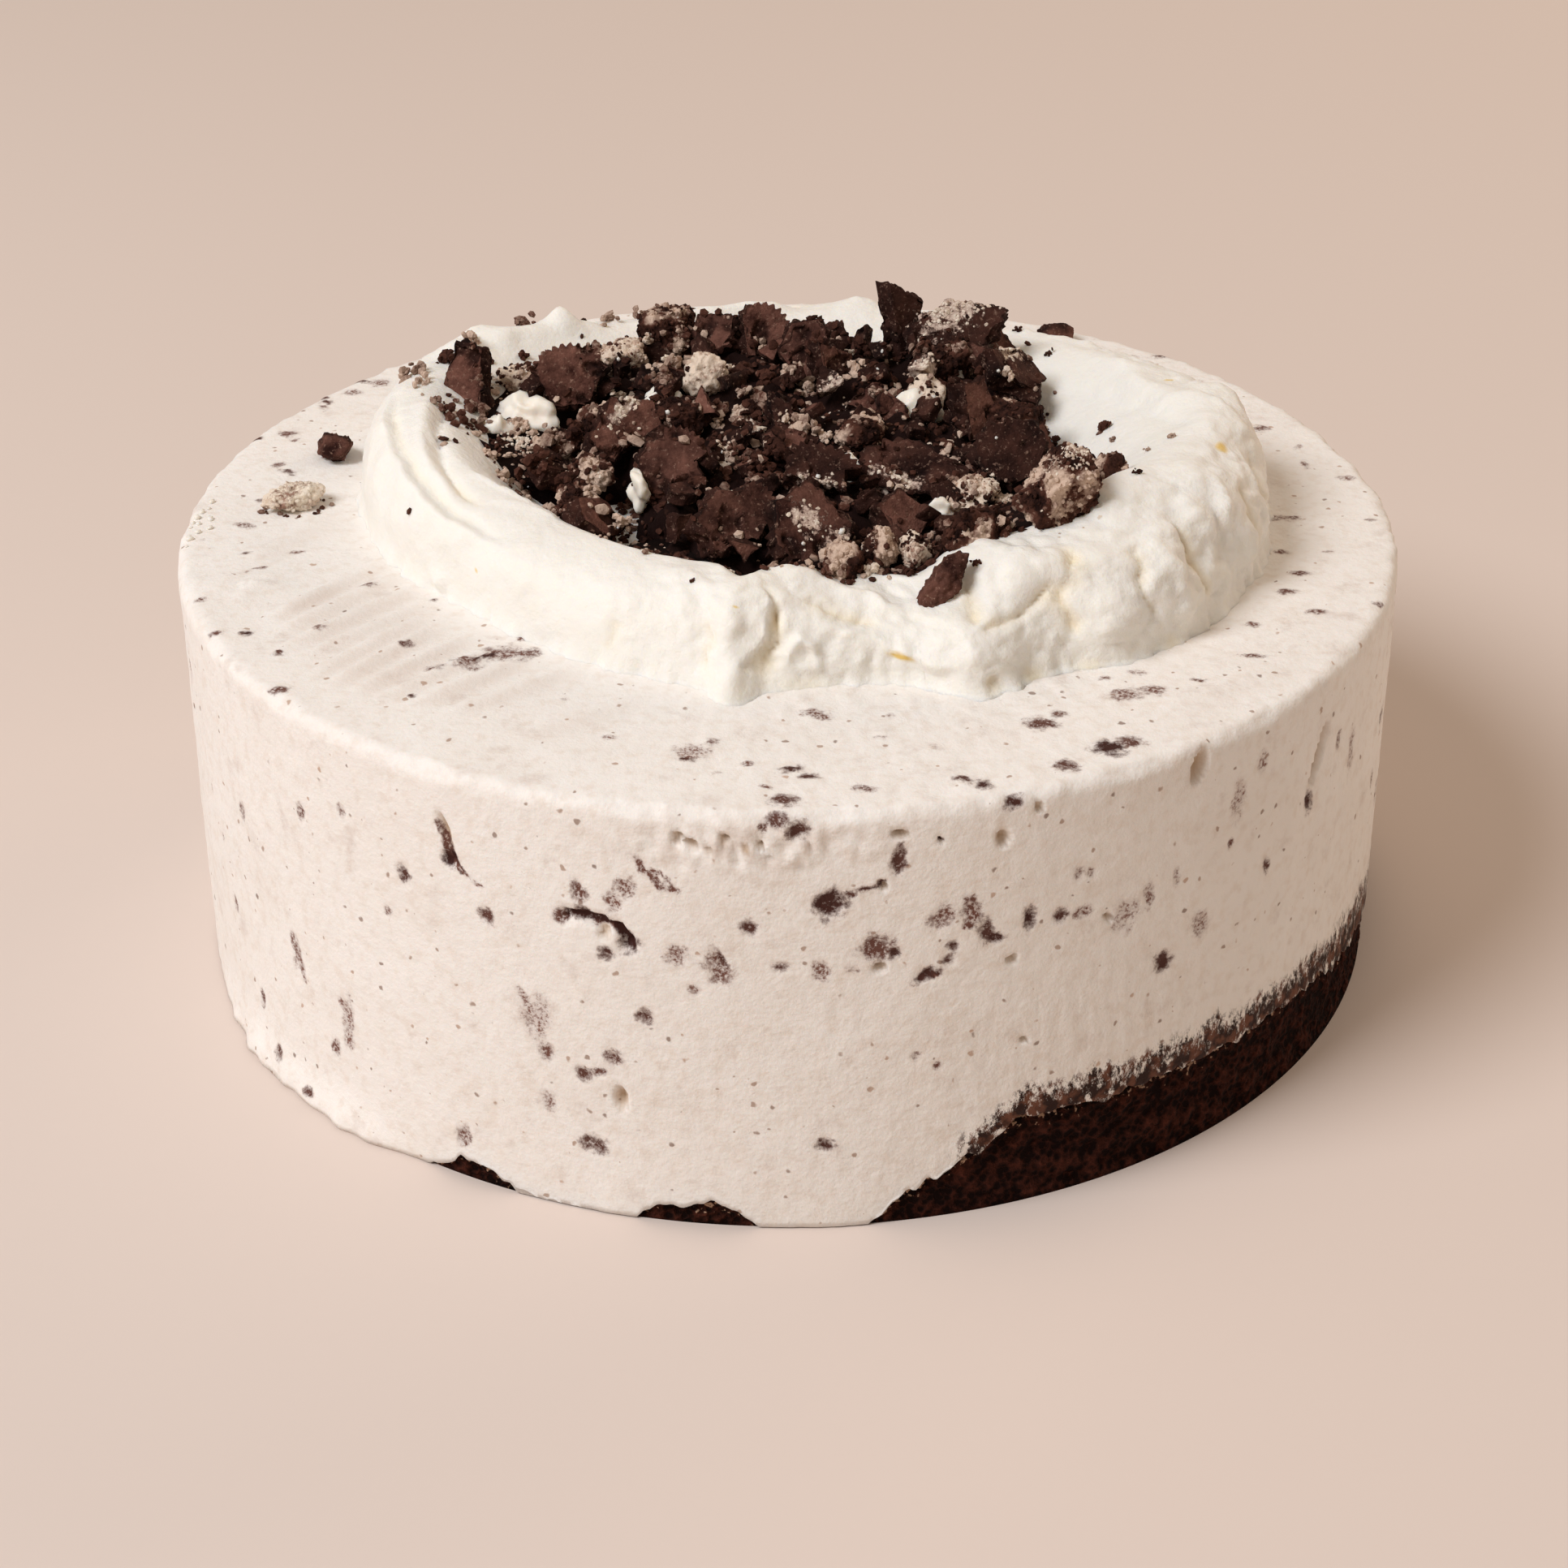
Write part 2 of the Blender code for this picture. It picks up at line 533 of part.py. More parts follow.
def make_loose_piece(name, spec, seed, collection):
    """A piece lying loose on the ice cream's top, flat where it rests."""
    x, y, length, width, height, turn = spec
    rng = random.Random(seed)
    bm = bmesh.new()
    bmesh.ops.create_icosphere(bm, subdivisions=2, radius=0.5)
    for vertex in bm.verts:
        vertex.co *= rng.uniform(0.88, 1.12)
    size = Matrix.Diagonal((length * MM, width * MM, 1.3 * height * MM, 1.0))
    bm.transform(Matrix.Rotation(math.radians(turn), 4, "Z") @ size)
    floor = -0.5 * height * MM
    cut = bmesh.ops.bisect_plane(
        bm, geom=bm.verts[:] + bm.edges[:] + bm.faces[:], plane_co=(0, 0, floor), plane_no=(0, 0, -1), clear_outer=True
    )
    rim = [e for e in cut["geom_cut"] if isinstance(e, bmesh.types.BMEdge)]
    bmesh.ops.contextual_create(bm, geom=rim)
    bmesh.ops.recalc_face_normals(bm, faces=bm.faces[:])
    bm.transform(Matrix.Translation((x * MM, y * MM, CAKE_HEIGHT + GAP - floor)))
    return from_bmesh(name, bm, collection)


def finish(obj, material):
    obj.data.materials.clear()
    obj.data.materials.append(material)
    obj.data.shade_smooth()
    obj.data.set_sharp_from_angle(angle=math.radians(40))


def main():
    clear_scene()
    cake = make_collection("ice_cream_cake")
    wafer = make_material("cocoa wafer", "#3A2320", 0.85)
    filling = make_material("cookie filling", "#D8C2A4", 0.8)
    finish(make_sponge(cake), make_material("chocolate sponge", "#2E1914", 0.9))
    finish(make_ice_cream(cake), make_material("cookies and cream ice cream", "#EFE4DC", 0.55))
    finish(make_cream("whipped_cream", cake), make_material("whipped cream", "#FBF6EA", 0.45))
    finish(make_heap(cake), wafer)
    finish(make_front_wafer(cake), wafer)
    finish(make_loose_piece("left_wafer", LEFT_WAFER, 1, cake), wafer)
    finish(make_loose_piece("back_wafer", BACK_WAFER, 2, cake), wafer)
    finish(make_loose_piece("filling_crumb", FILLING_CRUMB, 4, cake), filling)


main()
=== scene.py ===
"""Looks of a round cookies-and-cream ice cream cake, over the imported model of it.

Metres, +Z up. The origin is the middle of the face that the cake rests on. -Y is the cake's front and +X its
right. An azimuth is in degrees, counted from the front towards the right. The tables are in mm and degrees.
"""

import math
import random

import bmesh
import bpy
import numpy as np
from mathutils import Euler, Matrix, Vector, noise
from mathutils.bvhtree import BVHTree


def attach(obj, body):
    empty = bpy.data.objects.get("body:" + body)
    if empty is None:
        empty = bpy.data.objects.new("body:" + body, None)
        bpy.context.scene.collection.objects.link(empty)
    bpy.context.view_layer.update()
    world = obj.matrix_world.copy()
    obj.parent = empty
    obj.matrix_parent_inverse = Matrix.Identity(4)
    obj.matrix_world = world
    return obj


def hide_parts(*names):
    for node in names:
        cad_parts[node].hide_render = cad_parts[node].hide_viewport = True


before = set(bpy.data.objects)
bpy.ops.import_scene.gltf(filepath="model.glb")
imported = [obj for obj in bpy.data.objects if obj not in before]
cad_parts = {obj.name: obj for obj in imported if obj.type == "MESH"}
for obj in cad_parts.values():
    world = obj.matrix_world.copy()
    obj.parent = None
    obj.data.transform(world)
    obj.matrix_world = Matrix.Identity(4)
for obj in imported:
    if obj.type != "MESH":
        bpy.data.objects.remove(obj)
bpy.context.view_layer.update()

MM = 0.001
GAP = 0.3 * MM  # between pieces that touch, as in the model
TINY = 0.01 * MM
FRONT_CLOSER = 0.35  # share by which a turned form's steps lie closer at the front

# Ice cream body and sponge, as in the model
CAKE_RADIUS = 114.3 * MM
CAKE_HEIGHT = 81.6 * MM
RIM_ROUND = 2.6 * MM
RIM_FOOT = CAKE_HEIGHT - RIM_ROUND  # where the side starts to round over
SPONGE_THICKNESS = 17.4 * MM
SKIRT_THICKNESS = 3.6 * MM
SPONGE_INSET = 0.7 * MM
ICE_CREAM_FOOT = 0.3 * MM
# Height at which the ice cream thins to nothing over the sponge, as (azimuth, mm)
SKIRT_EDGE = (
    (-160, -2), (-120, -3), (-60, -3), (-37, -2), (-33, 1), (-30, 4.6), (-27, 3), (-23, -1), (-15, -1),
    (-11, 4.3), (-5, 4.2), (-2, -1), (5, -1), (9, 4.8), (12, 8.0), (16, 13.0), (20, 17.4), (54, 17.4),
    (62, 14.6), (70, 13.0), (95, 8.5), (112, 4.0), (125, 0),
)  # fmt: skip

# Whipped cream, as in the model: (azimuth, mm) round the cake
CREAM_OUTLINE = (
    (-180, 81), (-150, 80), (-125, 87), (-100, 83), (-75, 75), (-50, 69), (-28, 70), (-13, 72), (-8, 78),
    (-3, 72.5), (10, 70), (17, 74), (24, 82), (33, 79.5), (45, 86), (60, 88), (80, 90.5), (100, 89),
    (120, 82), (150, 81),
)  # fmt: skip
CREAM_CREST = (
    (-180, 15), (-150, 16), (-125, 19), (-100, 19), (-75, 17), (-45, 15), (-20, 15), (-8, 16), (10, 12.5),
    (22, 13), (38, 20), (60, 22), (90, 22), (115, 18), (150, 15),
)  # fmt: skip
CREST_INSET = ((-180, 14), (-110, 12), (-45, 15), (0, 16), (40, 22), (90, 12), (135, 13))
BED_THICKNESS = 5.0 * MM
BED_RADIUS = 43.0 * MM
CREAM_LUMP, LUMP_LENGTH = 2.2, 15.0  # mm
CREAM_CALM = ((-150, 0.35), (-60, 0.15), (-20, 0.3), (10, 0.9), (60, 1.0), (105, 0.8), (150, 0.4))
BED_EDGE, CREST = 0.6, 0.8  # shares of the turned form's radius, at which the bed ends and the crest stands

# Cookie heap, as in the model
WAFER = 5.0  # mm thick
HEAP_OUTLINE = (
    (-155, 56), (-138, 61), (-118, 66), (-105, 64), (-89, 57), (-78, 49), (-57, 45), (-40, 50), (-19, 52),
    (-5, 54), (10, 57), (28, 57), (42, 61), (55, 64), (72, 61), (96, 54), (113, 54), (131, 60), (145, 62),
    (165, 55),
)  # fmt: skip
HEAP_EDGE, HEAP_RISE = 10 * MM, 6 * MM
HEAP_BACK = 5 * MM
HEAP_COVER = 4 * MM


def smooth_step(low, high, value):
    """0 up to the low value and 1 from the high one on, with a soft rise between them."""
    share = np.clip((value - low) / (high - low), 0.0, 1.0)
    return share * share * (3 - 2 * share)


def span(rise_from, rise_to, fall_from, fall_to, value):
    """1 between two limits, with a soft rise and a soft fall."""
    return smooth_step(rise_from, rise_to, value) * (1 - smooth_step(fall_from, fall_to, value))


def hill(*offsets):
    """1 in the middle, fading round it. Each offset is the distance one way and the hill's width that way."""
    return np.exp(-sum((distance / width) ** 2 for distance, width in offsets))


def apart(azimuth, other):
    """Degrees from the other azimuth, the short way round."""
    return (azimuth - other + 180) % 360 - 180


def around(points, azimuth):
    """A smooth curve through (azimuth, value) points that closes on itself, at an array of azimuths."""
    knots = np.array(points, float)
    lap = np.array((360.0, 0.0))
    knots = np.vstack([knots[-2:] - lap, knots, knots[:2] + lap])
    azimuth = (np.asarray(azimuth, float) - knots[2, 0]) % 360 + knots[2, 0]
    i = np.searchsorted(knots[:, 0], azimuth, side="right") - 1
    (a0, v0), (a1, v1), (a2, v2), (a3, v3) = (knots[i + k].T for k in (-1, 0, 1, 2))
    t = (azimuth - a1) / (a2 - a1)
    slope1 = np.where((v2 - v1) * (v1 - v0) > 0, (v2 - v0) / (a2 - a0) * (a2 - a1), 0.0)
    slope2 = np.where((v3 - v2) * (v2 - v1) > 0, (v3 - v1) / (a3 - a1) * (a2 - a1), 0.0)
    start, end = 2 * t**3 - 3 * t**2 + 1, 3 * t**2 - 2 * t**3
    return start * v1 + (t**3 - 2 * t**2 + t) * slope1 + end * v2 + (t**3 - t**2) * slope2


def polar(points):
    """Azimuth in degrees, radius and height of each point."""
    x, y, z = points.T
    return np.degrees(np.arctan2(x, -y)), np.hypot(x, y), z


def on_cake(azimuth, radius, height):
    """Points at azimuths, radii and heights: the way back from polar()."""
    angle = np.radians(azimuth)
    flat = np.zeros_like(angle + radius + height)
    return np.stack([radius * np.sin(angle) + flat, -radius * np.cos(angle) + flat, height + flat], axis=-1)


def above_cake(x, y, z):
    """A point from x, y and height above the ice cream's top, in mm."""
    return np.array((x * MM, y * MM, CAKE_HEIGHT + z * MM))


def closer_at_front(azimuth):
    """Azimuths of even steps, moved closer at the front, where the most detail is."""
    return azimuth - np.degrees(FRONT_CLOSER * np.sin(np.radians(azimuth)))


def uneven(points, *layers):
    """A sum of layers of smooth noise. Each is its height, the size of its features in mm and, where two
    layers would else run alike, a shift."""
    total = 0
    for height, size, *shift in layers:
        places = (points / (size * MM) + sum(shift)).tolist()
        total = total + height * np.fromiter((noise.noise(p) for p in places), float, len(places))
    return total


def grains(points, size):
    """0 in the joints between grains of that size in mm, up to about 1 on top of each."""
    places = (points / (size * MM)).tolist()
    nearest = np.fromiter((noise.voronoi(p)[0][0] for p in places), float, len(places))
    return 1 - np.clip(nearest, 0, 1)


def near_path(u, v, path):
    """Distance of each point (u, v) from a path, the same with its sign (left of the path above 0), and the
    share of the path's length at its foot."""
    best = np.full(len(u), np.inf)
    signed, share = np.zeros(len(u)), np.zeros(len(u))
    lengths = [math.dist(a, b) for a, b in zip(path, path[1:])]
    done = 0.0
    for (u0, v0), (u1, v1), length in zip(path, path[1:], lengths):
        du, dv = (u1 - u0) / length, (v1 - v0) / length
        along = np.clip((u - u0) * du + (v - v0) * dv, 0, length)
        off_u, off_v = u - u0 - along * du, v - v0 - along * dv
        distance = np.hypot(off_u, off_v)
        closer = distance < best
        best[closer] = distance[closer]
        signed[closer] = (np.sign(du * off_v - dv * off_u) * distance)[closer]
        share[closer] = ((done + along) / sum(lengths))[closer]
        done += length
    return best, signed, share


def turned(x, y, degrees):
    """Distances along and across a direction."""
    c, s = math.cos(math.radians(degrees)), math.sin(math.radians(degrees))
    return x * c + y * s, y * c - x * s


def positions(obj):
    found = np.empty(3 * len(obj.data.vertices))
    obj.data.vertices.foreach_get("co", found)
    return found.reshape(-1, 3)


def move_to(obj, points):
    obj.data.vertices.foreach_set("co", points.ravel())
    obj.data.update()


def paint(obj, **painted):
    """Keeps numbers for each vertex, by their names, for the piece's material."""
    for name, values in painted.items():
        layer = obj.data.attributes.new(name, "FLOAT", "POINT")
        layer.data.foreach_set("value", values.astype(np.float32))


def colour(hex_code):
    """sRGB hex to linear."""
    channels = [int(hex_code[i : i + 2], 16) / 255 for i in (1, 3, 5)]
    return (*(c / 12.92 if c <= 0.04045 else ((c + 0.055) / 1.055) ** 2.4 for c in channels), 1.0)


def add_node(tree, kind, inputs, output=0, **settings):
    """Adds a node and returns one of its outputs. Inputs are values or outputs, by name or number."""
    made = tree.nodes.new(f"ShaderNode{kind}")
    for name, value in settings.items():
        setattr(made, name, value)
    for socket, value in inputs.items():
        if isinstance(value, bpy.types.NodeSocket):
            tree.links.new(value, made.inputs[socket])
        else:
            made.inputs[socket].default_value = value
    return made.outputs[output]


def make_material(name, roughness, **sockets):
    """A Principled material and what its nodes need: its tree, its shader and the place on the object."""
    material = bpy.data.materials.new(name)
    material.use_nodes = True
    tree = material.node_tree
    shader = tree.nodes["Principled BSDF"]
    shader.inputs["Roughness"].default_value = roughness
    for socket, value in sockets.items():
        shader.inputs[socket.replace("_", " ")].default_value = value
    return material, tree, shader, add_node(tree, "TexCoord", {}, "Object")


def shown(tree, pattern, share, gain, start, low, high):
    """Where a pattern shows through: the more of it, the larger the share."""
    lifted = add_node(tree, "Math", {0: share, 1: gain, 2: start}, operation="MULTIPLY_ADD")
    lifted = add_node(tree, "Math", {0: pattern, 1: lifted}, operation="ADD")
    return add_node(tree, "MapRange", {"Value": lifted, "From Min": low, "From Max": high})


def finish_material(tree, shader, base, coats, relief=None, strength=1.0, depth=0.0):
    """Lays coats over the base colour, each as (share, colour), and adds the relief, its depth in mm."""
    for share, coat in coats:
        coat = colour(coat) if isinstance(coat, str) else coat
        base = add_node(tree, "Mix", {0: share, 6: base, 7: coat}, 2, data_type="RGBA")
    tree.links.new(base, shader.inputs["Base Color"])
    if relief is not None:
        bump = add_node(tree, "Bump", {"Height": relief, "Strength": strength, "Distance": depth * MM})
        tree.links.new(bump, shader.inputs["Normal"])


def add_object(name, data):
    obj = bpy.data.objects.new(name, data)
    bpy.context.scene.collection.objects.link(obj)
    return obj


def make_piece(name, bm, material, stands_for):
    """Turns a bmesh into a finished piece of the cake."""
    mesh = bpy.data.meshes.new(name)
    bm.to_mesh(mesh)
    bm.free()
    return finish_piece(name, mesh, material, stands_for)


def finish_piece(name, mesh, material, stands_for):
    """A piece with its material, in place of the solids that it stands for."""
    obj = add_object(name, mesh)
    mesh.materials.append(material)
    mesh.shade_smooth()
    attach(obj, "root")
    if stands_for:
        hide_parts(*stands_for)
    return obj


def spun(profile, steps, wedges=20):
    """A profile of (radius, height) points, from the top centre outwards and down, spun about the Z axis. One
    wedge is spun and then repeated, which is much quicker than one long spin."""
    bm = bmesh.new()
    line = [bm.verts.new((r, 0, z)) for r, z in profile]
    edges = [bm.edges.new(pair) for pair in zip(line, line[1:])]
    axis = {"cent": (0, 0, 0), "axis": (0, 0, 1), "dvec": (0, 0, 0)}
    bmesh.ops.spin(bm, geom=line + edges, angle=math.tau / wedges, steps=steps // wedges, **axis)
    whole = bm.verts[:] + bm.edges[:] + bm.faces[:]
    rest = wedges - 1
    bmesh.ops.spin(bm, geom=whole, angle=math.tau * rest / wedges, steps=rest, use_duplicate=True, **axis)
    bmesh.ops.remove_doubles(bm, verts=bm.verts[:], dist=0.1 * TINY)
    bmesh.ops.recalc_face_normals(bm, faces=bm.faces[:])
    return bm


# The ice cream body

BODY_STEPS = 800
TOP_ROWS_FROM, TOP_ROW = 68.5 * MM, 1.5225 * MM  # rows of faces on the top, from the cream's foot to the rim
SIDE_ROWS, RIM_ROWS = 76, 6
ARC = CAKE_RADIUS / MM * math.pi / 180  # mm round the side for each degree

# Cookie bits in the side: azimuth, height, then size along and across and its tilt, then how dark they are.
# Dark ones lie open, faint ones lie under a film of ice cream
SIDE_BITS = (
    (-29.5, 65.2, 3.4, 3.4, 0, 1.0), (-34.6, 59.1, 3.4, 2.6, -40, 0.8), (-26.2, 55.8, 3.4, 2.8, -30, 0.7),
    (-19.4, 59.2, 3.2, 2.8, 0, 0.6), (-13.5, 55.5, 3.2, 4.0, -15, 1.0), (-15.4, 53.4, 2.4, 3.4, -12, 0.85),
    (-9.4, 54.3, 4.0, 3.4, 15, 0.4), (-6.1, 52.6, 6.4, 4.4, -25, 0.5), (-5.7, 53.7, 4.2, 2.0, -20, 0.8),
    (-3.3, 60.2, 3.2, 3.0, 0, 0.8), (3.1, 64.7, 5.2, 5.2, 10, 0.95), (4.9, 66.6, 1.2, 2.4, -25, 0.7),
    (8.7, 72.0, 6.0, 2.4, 5, 0.8), (12.2, 75.4, 1.0, 1.0, 0, 1.0), (-1.1, 80.3, 3.0, 3.4, 0, 0.7),
    (0.5, 78.6, 4.0, 3.4, 20, 0.8), (-2.2, 79.0, 2.6, 1.8, 10, 0.6), (18.2, 80.4, 2.6, 3.4, -20, 0.9),
    (16.2, 56.9, 5.0, 2.6, -15, 0.8), (17.0, 55.2, 2.0, 3.2, 0, 0.9), (20.0, 57.8, 4.6, 2.2, 0, 0.95),
    (22.8, 57.0, 3.0, 2.6, 0, 0.8), (13.4, 55.0, 2.0, 2.2, 0, 0.8), (14.9, 61.4, 2.8, 4.2, -20, 0.55),
    (7.0, 56.0, 5.2, 5.4, -30, 0.6), (8.6, 54.6, 2.0, 2.4, 0, 0.9), (5.0, 52.1, 1.2, 2.6, 0, 0.5),
    (11.0, 49.8, 2.0, 5.0, -35, 0.9), (13.0, 52.3, 1.8, 2.8, -15, 0.8), (33.5, 41.5, 4.2, 3.8, -20, 0.85),
    (29.2, 53.6, 6.0, 5.0, 0, 0.3), (31.6, 55.8, 5.0, 2.0, 0, 0.4), (24.9, 56.6, 2.4, 3.0, 0, 0.45),
    (37.7, 46.1, 4.6, 4.0, 0, 0.35), (52.2, 58.2, 5.0, 2.4, -12, 0.9), (45.9, 51.1, 3.4, 1.8, -10, 0.7),
    (41.4, 67.6, 7.0, 3.4, 0, 0.25), (44.2, 72.6, 4.0, 2.6, 0, 0.3), (57.5, 66.0, 4.0, 2.0, 10, 0.5),
    (61.0, 60.0, 9.0, 2.6, 0, 0.3), (34.5, 57.6, 3.4, 1.6, 0, 0.4), (24.5, 64.4, 2.4, 2.0, 0, 0.5),
    (25.6, 63.8, 1.8, 1.6, 0, 0.4), (-12.3, 42.0, 2.8, 2.8, 0, 0.75), (-15.2, 32.8, 3.0, 3.0, 10, 0.65),
    (-17.9, 28.6, 2.4, 3.6, 25, 0.7), (-16.4, 29.4, 1.6, 2.6, -25, 0.6), (-21.3, 21.7, 4.0, 3.4, 0, 0.35),
    (-21.2, 31.4, 3.4, 3.0, 0, 0.5), (-17.1, 14.2, 3.4, 4.8, 10, 0.75), (-21.9, 38.6, 8.0, 5.0, 15, 0.28),
    (-22.6, 36.6, 3.0, 2.4, 0, 0.45), (2.8, 17.5, 2.4, 3.2, 0, 0.85), (10.4, 34.0, 1.8, 1.8, 0, 0.5),
    (12.3, 31.5, 1.6, 1.6, 0, 0.5), (-50.2, 30.3, 6.5, 1.8, 12, 0.45), (-57.9, 13.0, 4.0, 1.8, 10, 0.6),
    (-43.0, 23.0, 9.0, 2.4, 8, 0.35), (-45.0, 15.5, 4.0, 2.4, 0, 0.5), (-30.1, 8.9, 5.0, 3.0, 20, 0.5),
    (-54.5, 5.0, 2.6, 2.6, 0, 0.7), (-49.0, 2.6, 2.0, 3.0, 0, 0.7), (-13.6, 66.4, 4.4, 3.6, 35, 0.4),
    (-14.6, 63.6, 4.0, 3.0, 20, 0.4), (-17.6, 64.4, 3.6, 2.8, -20, 0.6), (12.3, 60.7, 3.4, 5.0, -40, 0.5),
    (40.8, 59.6, 2.2, 1.6, 0, 0.5), (70.1, 45.2, 4.0, 2.0, 0, 0.4), (-47.4, 61.8, 3.0, 2.0, 0, 0.5),
    (-41.6, 66.4, 2.6, 1.8, 0, 0.5), (-36.9, 50.2, 2.0, 2.0, 0, 0.4), (-8.0, 47.9, 2.0, 2.2, 0, 0.4),
    (2.4, 52.0, 3.4, 3.0, 0, 0.4), (-0.9, 52.9, 2.0, 3.0, 0, 0.75), (-58.5, 52.0, 4.0, 2.0, 15, 0.5),
    (-63.0, 28.0, 3.0, 2.0, 0, 0.5), (24.6, 12.0, 7.0, 3.4, 20, 0.5),
)  # fmt: skip
# Thin lines of cookie: the path as (azimuth, height), then width and how dark
CRACKS = (
    (((-18.9, 59.4), (-17.8, 60.3), (-16.4, 59.7), (-15.0, 59.5), (-14.2, 58.0), (-13.3, 56.6)), 1.9, 1.0),
    (((-30.7, 71.5), (-30.1, 68.5), (-29.4, 65.8)), 1.3, 0.6),
    (((-29.2, 65.0), (-28.0, 63.2), (-26.6, 61.6)), 1.2, 0.4),
    (((-12.6, 72.4), (-12.0, 69.6), (-10.6, 67.4), (-9.4, 66.6)), 1.5, 0.55),
    (((-11.4, 70.4), (-9.8, 68.2)), 1.3, 0.5), (((5.8, 67.4), (7.3, 68.3)), 1.4, 0.95),
    (((-23.4, 43.0), (-22.2, 39.0), (-21.6, 35.0)), 1.8, 0.3),
    (((-50.6, 34), (-50.0, 30), (-49.0, 26)), 1.6, 0.4),
    (((14.6, 63.6), (15.2, 60.6), (14.8, 58.8)), 2.2, 0.55),
    (((-43.6, 27), (-42.6, 22), (-42.9, 18)), 1.8, 0.35),
    (((10.4, 48.8), (11.6, 49.4), (12.4, 50.6)), 1.5, 0.85),
)  # fmt: skip
# Cookie bits in the top: x, y, size along and across, turn and darkness
TOP_BITS = (
    (-96, -48, 2.6, 1.8, 0, 1.0), (-89, 69, 3.4, 2.4, 20, 0.8), (-95, 60, 2.0, 1.6, 0, 0.7),
    (-106, 39, 2.6, 2.4, 0, 0.8), (-89, -56, 2.4, 2.0, 30, 0.7), (-87, -70, 4.0, 2.4, 0, 0.6),
    (-49, -57.5, 7.0, 5.0, 20, 0.5), (-53, -59, 6.5, 1.2, -35, 0.95), (-56, -61, 5.0, 4.0, 0, 0.55),
    (-45, -57, 4.0, 3.6, 0, 0.6), (-67, -54, 3.0, 2.0, 0, 0.7), (-61, -63, 3.4, 2.4, 0, 0.6),
    (-54, -63, 2.4, 2.0, 0, 0.5), (-64, -73, 1.6, 1.4, 0, 0.9), (-16, -93, 6.0, 4.4, 0, 0.35),
    (-17.5, -96, 3.2, 1.2, 10, 0.9), (-13, -90, 2.4, 2.2, 0, 0.6), (0, -99, 4.2, 2.0, -15, 0.9),
    (3, -101.5, 3.4, 2.6, -20, 0.85), (-7, -97, 2.0, 2.4, 0, 0.5), (-12, -100, 2.0, 1.0, 0, 0.6),
    (-4, -105, 2.0, 1.2, 0, 0.5), (-1, -109.5, 5.0, 4.0, 0, 0.75), (12, -106, 3.6, 2.6, 0, 0.6),
    (15, -89, 2.4, 1.4, 0, 0.5), (42, -84, 5.5, 4.5, 0, 0.7), (45, -81, 3.0, 2.4, 0, 0.6),
    (52.5, -93, 6.0, 4.6, 20, 1.0), (56, -91, 5.0, 4.0, 20, 0.7), (45, -99, 4.6, 3.4, 20, 0.75),
    (28, -103, 3.4, 2.4, 0, 0.8), (31, -105, 3.0, 3.4, 0, 0.95), (17, -81, 2.0, 1.4, 0, 0.5),
    (4, -80, 5.0, 2.8, 0, 0.5), (6, -82, 3.0, 1.6, 0, 0.4), (57, -74, 6.5, 4.0, -10, 0.5),
    (62, -73, 4.6, 3.4, 0, 0.5), (70, -69, 2.6, 1.4, 0, 0.6), (60, -66, 3.0, 2.0, 0, 0.5),
    (80, -60, 6.0, 1.4, 0, 0.6), (54, -68, 3.0, 1.6, 0, 0.5), (94, -43, 3.4, 2.2, 0, 0.6),
    (90, -35, 3.6, 2.4, 0, 0.6), (91, -18, 3.0, 1.8, 0, 0.5), (93, -27, 4.2, 2.2, 0, 0.6),
    (100, -18, 2.2, 1.4, 0, 0.5), (110, -4, 2.4, 1.4, 0, 0.6), (106, -40, 3.0, 1.8, 10, 0.7),
    (93, -3, 5.0, 2.6, 0, 0.5), (96, -3, 2.4, 2.0, 0, 0.6), (79, 79, 4.4, 2.2, 0, 0.7),
    (89, 72, 2.4, 1.6, 0, 0.6), (109, 15, 2.4, 1.6, 0, 0.5), (-64, -36, 1.6, 1.4, 0, 0.8),
    (-47, -52, 2.2, 1.8, 0, 0.5), (-106, -35, 2.4, 1.6, 0, 0.5), (-101, -48, 2.6, 1.6, 0, 0.6),
    (82, -48, 2.8, 2.0, 0, 0.5), (70, -49, 2.2, 1.4, 0, 0.5), (44, 96, 3.0, 2.0, 0, 0.6),
    (-76, -30, 3.0, 1.8, 0, 0.6), (-91, -15, 3.4, 1.4, -10, 0.4), (-97, -22, 3.0, 1.2, -15, 0.5),
    (-83, -47, 2.6, 1.8, 0, 0.5), (-30, -88, 3.0, 1.6, 0, 0.35), (-38, -74, 2.0, 1.4, 0, 0.5),
    (24, -92, 2.6, 1.4, 0, 0.5),
)  # fmt: skip
# Bubbles in the side: azimuth, height, width, length and tilt
HOLLOWS = (
    (36.4, 77.5, 3.4, 7.0, -20), (53.4, 66.4, 2.6, 12.0, -24), (-29.8, 70, 2.0, 8.0, 16),
    (17.4, 74, 2.4, 3.4, 0), (8.8, 77, 3.0, 1.6, 0), (-14.6, 24.5, 2.6, 5.0, 0), (20.5, 78.5, 1.8, 1.8, 0),
    (27.5, 54.2, 1.8, 1.8, 0), (19.9, 34.1, 1.6, 1.2, 0), (18.6, 50.4, 2.4, 1.4, 20),
    (7.2, 52.2, 2.6, 1.0, 0), (-165, 58, 3.0, 6.5, 20), (-9.2, 76.6, 2.2, 1.6, 20),
    (-8.0, 75.7, 2.6, 1.8, -30), (-5.4, 76.6, 2.4, 1.5, 10), (-3.6, 75.2, 1.6, 2.6, 25),
    (-2.4, 76.0, 1.4, 1.6, 0), (-6.6, 74.6, 1.8, 1.2, 0), (1.4, 75.4, 1.4, 1.1, 0), (120, 66, 3.0, 7.0, -15),
    (-100, 40, 3.0, 5.0, 0), (-15.5, 57.6, 2.0, 3.0, -40), (7.5, 67.7, 2.0, 1.2, -20),
)  # fmt: skip
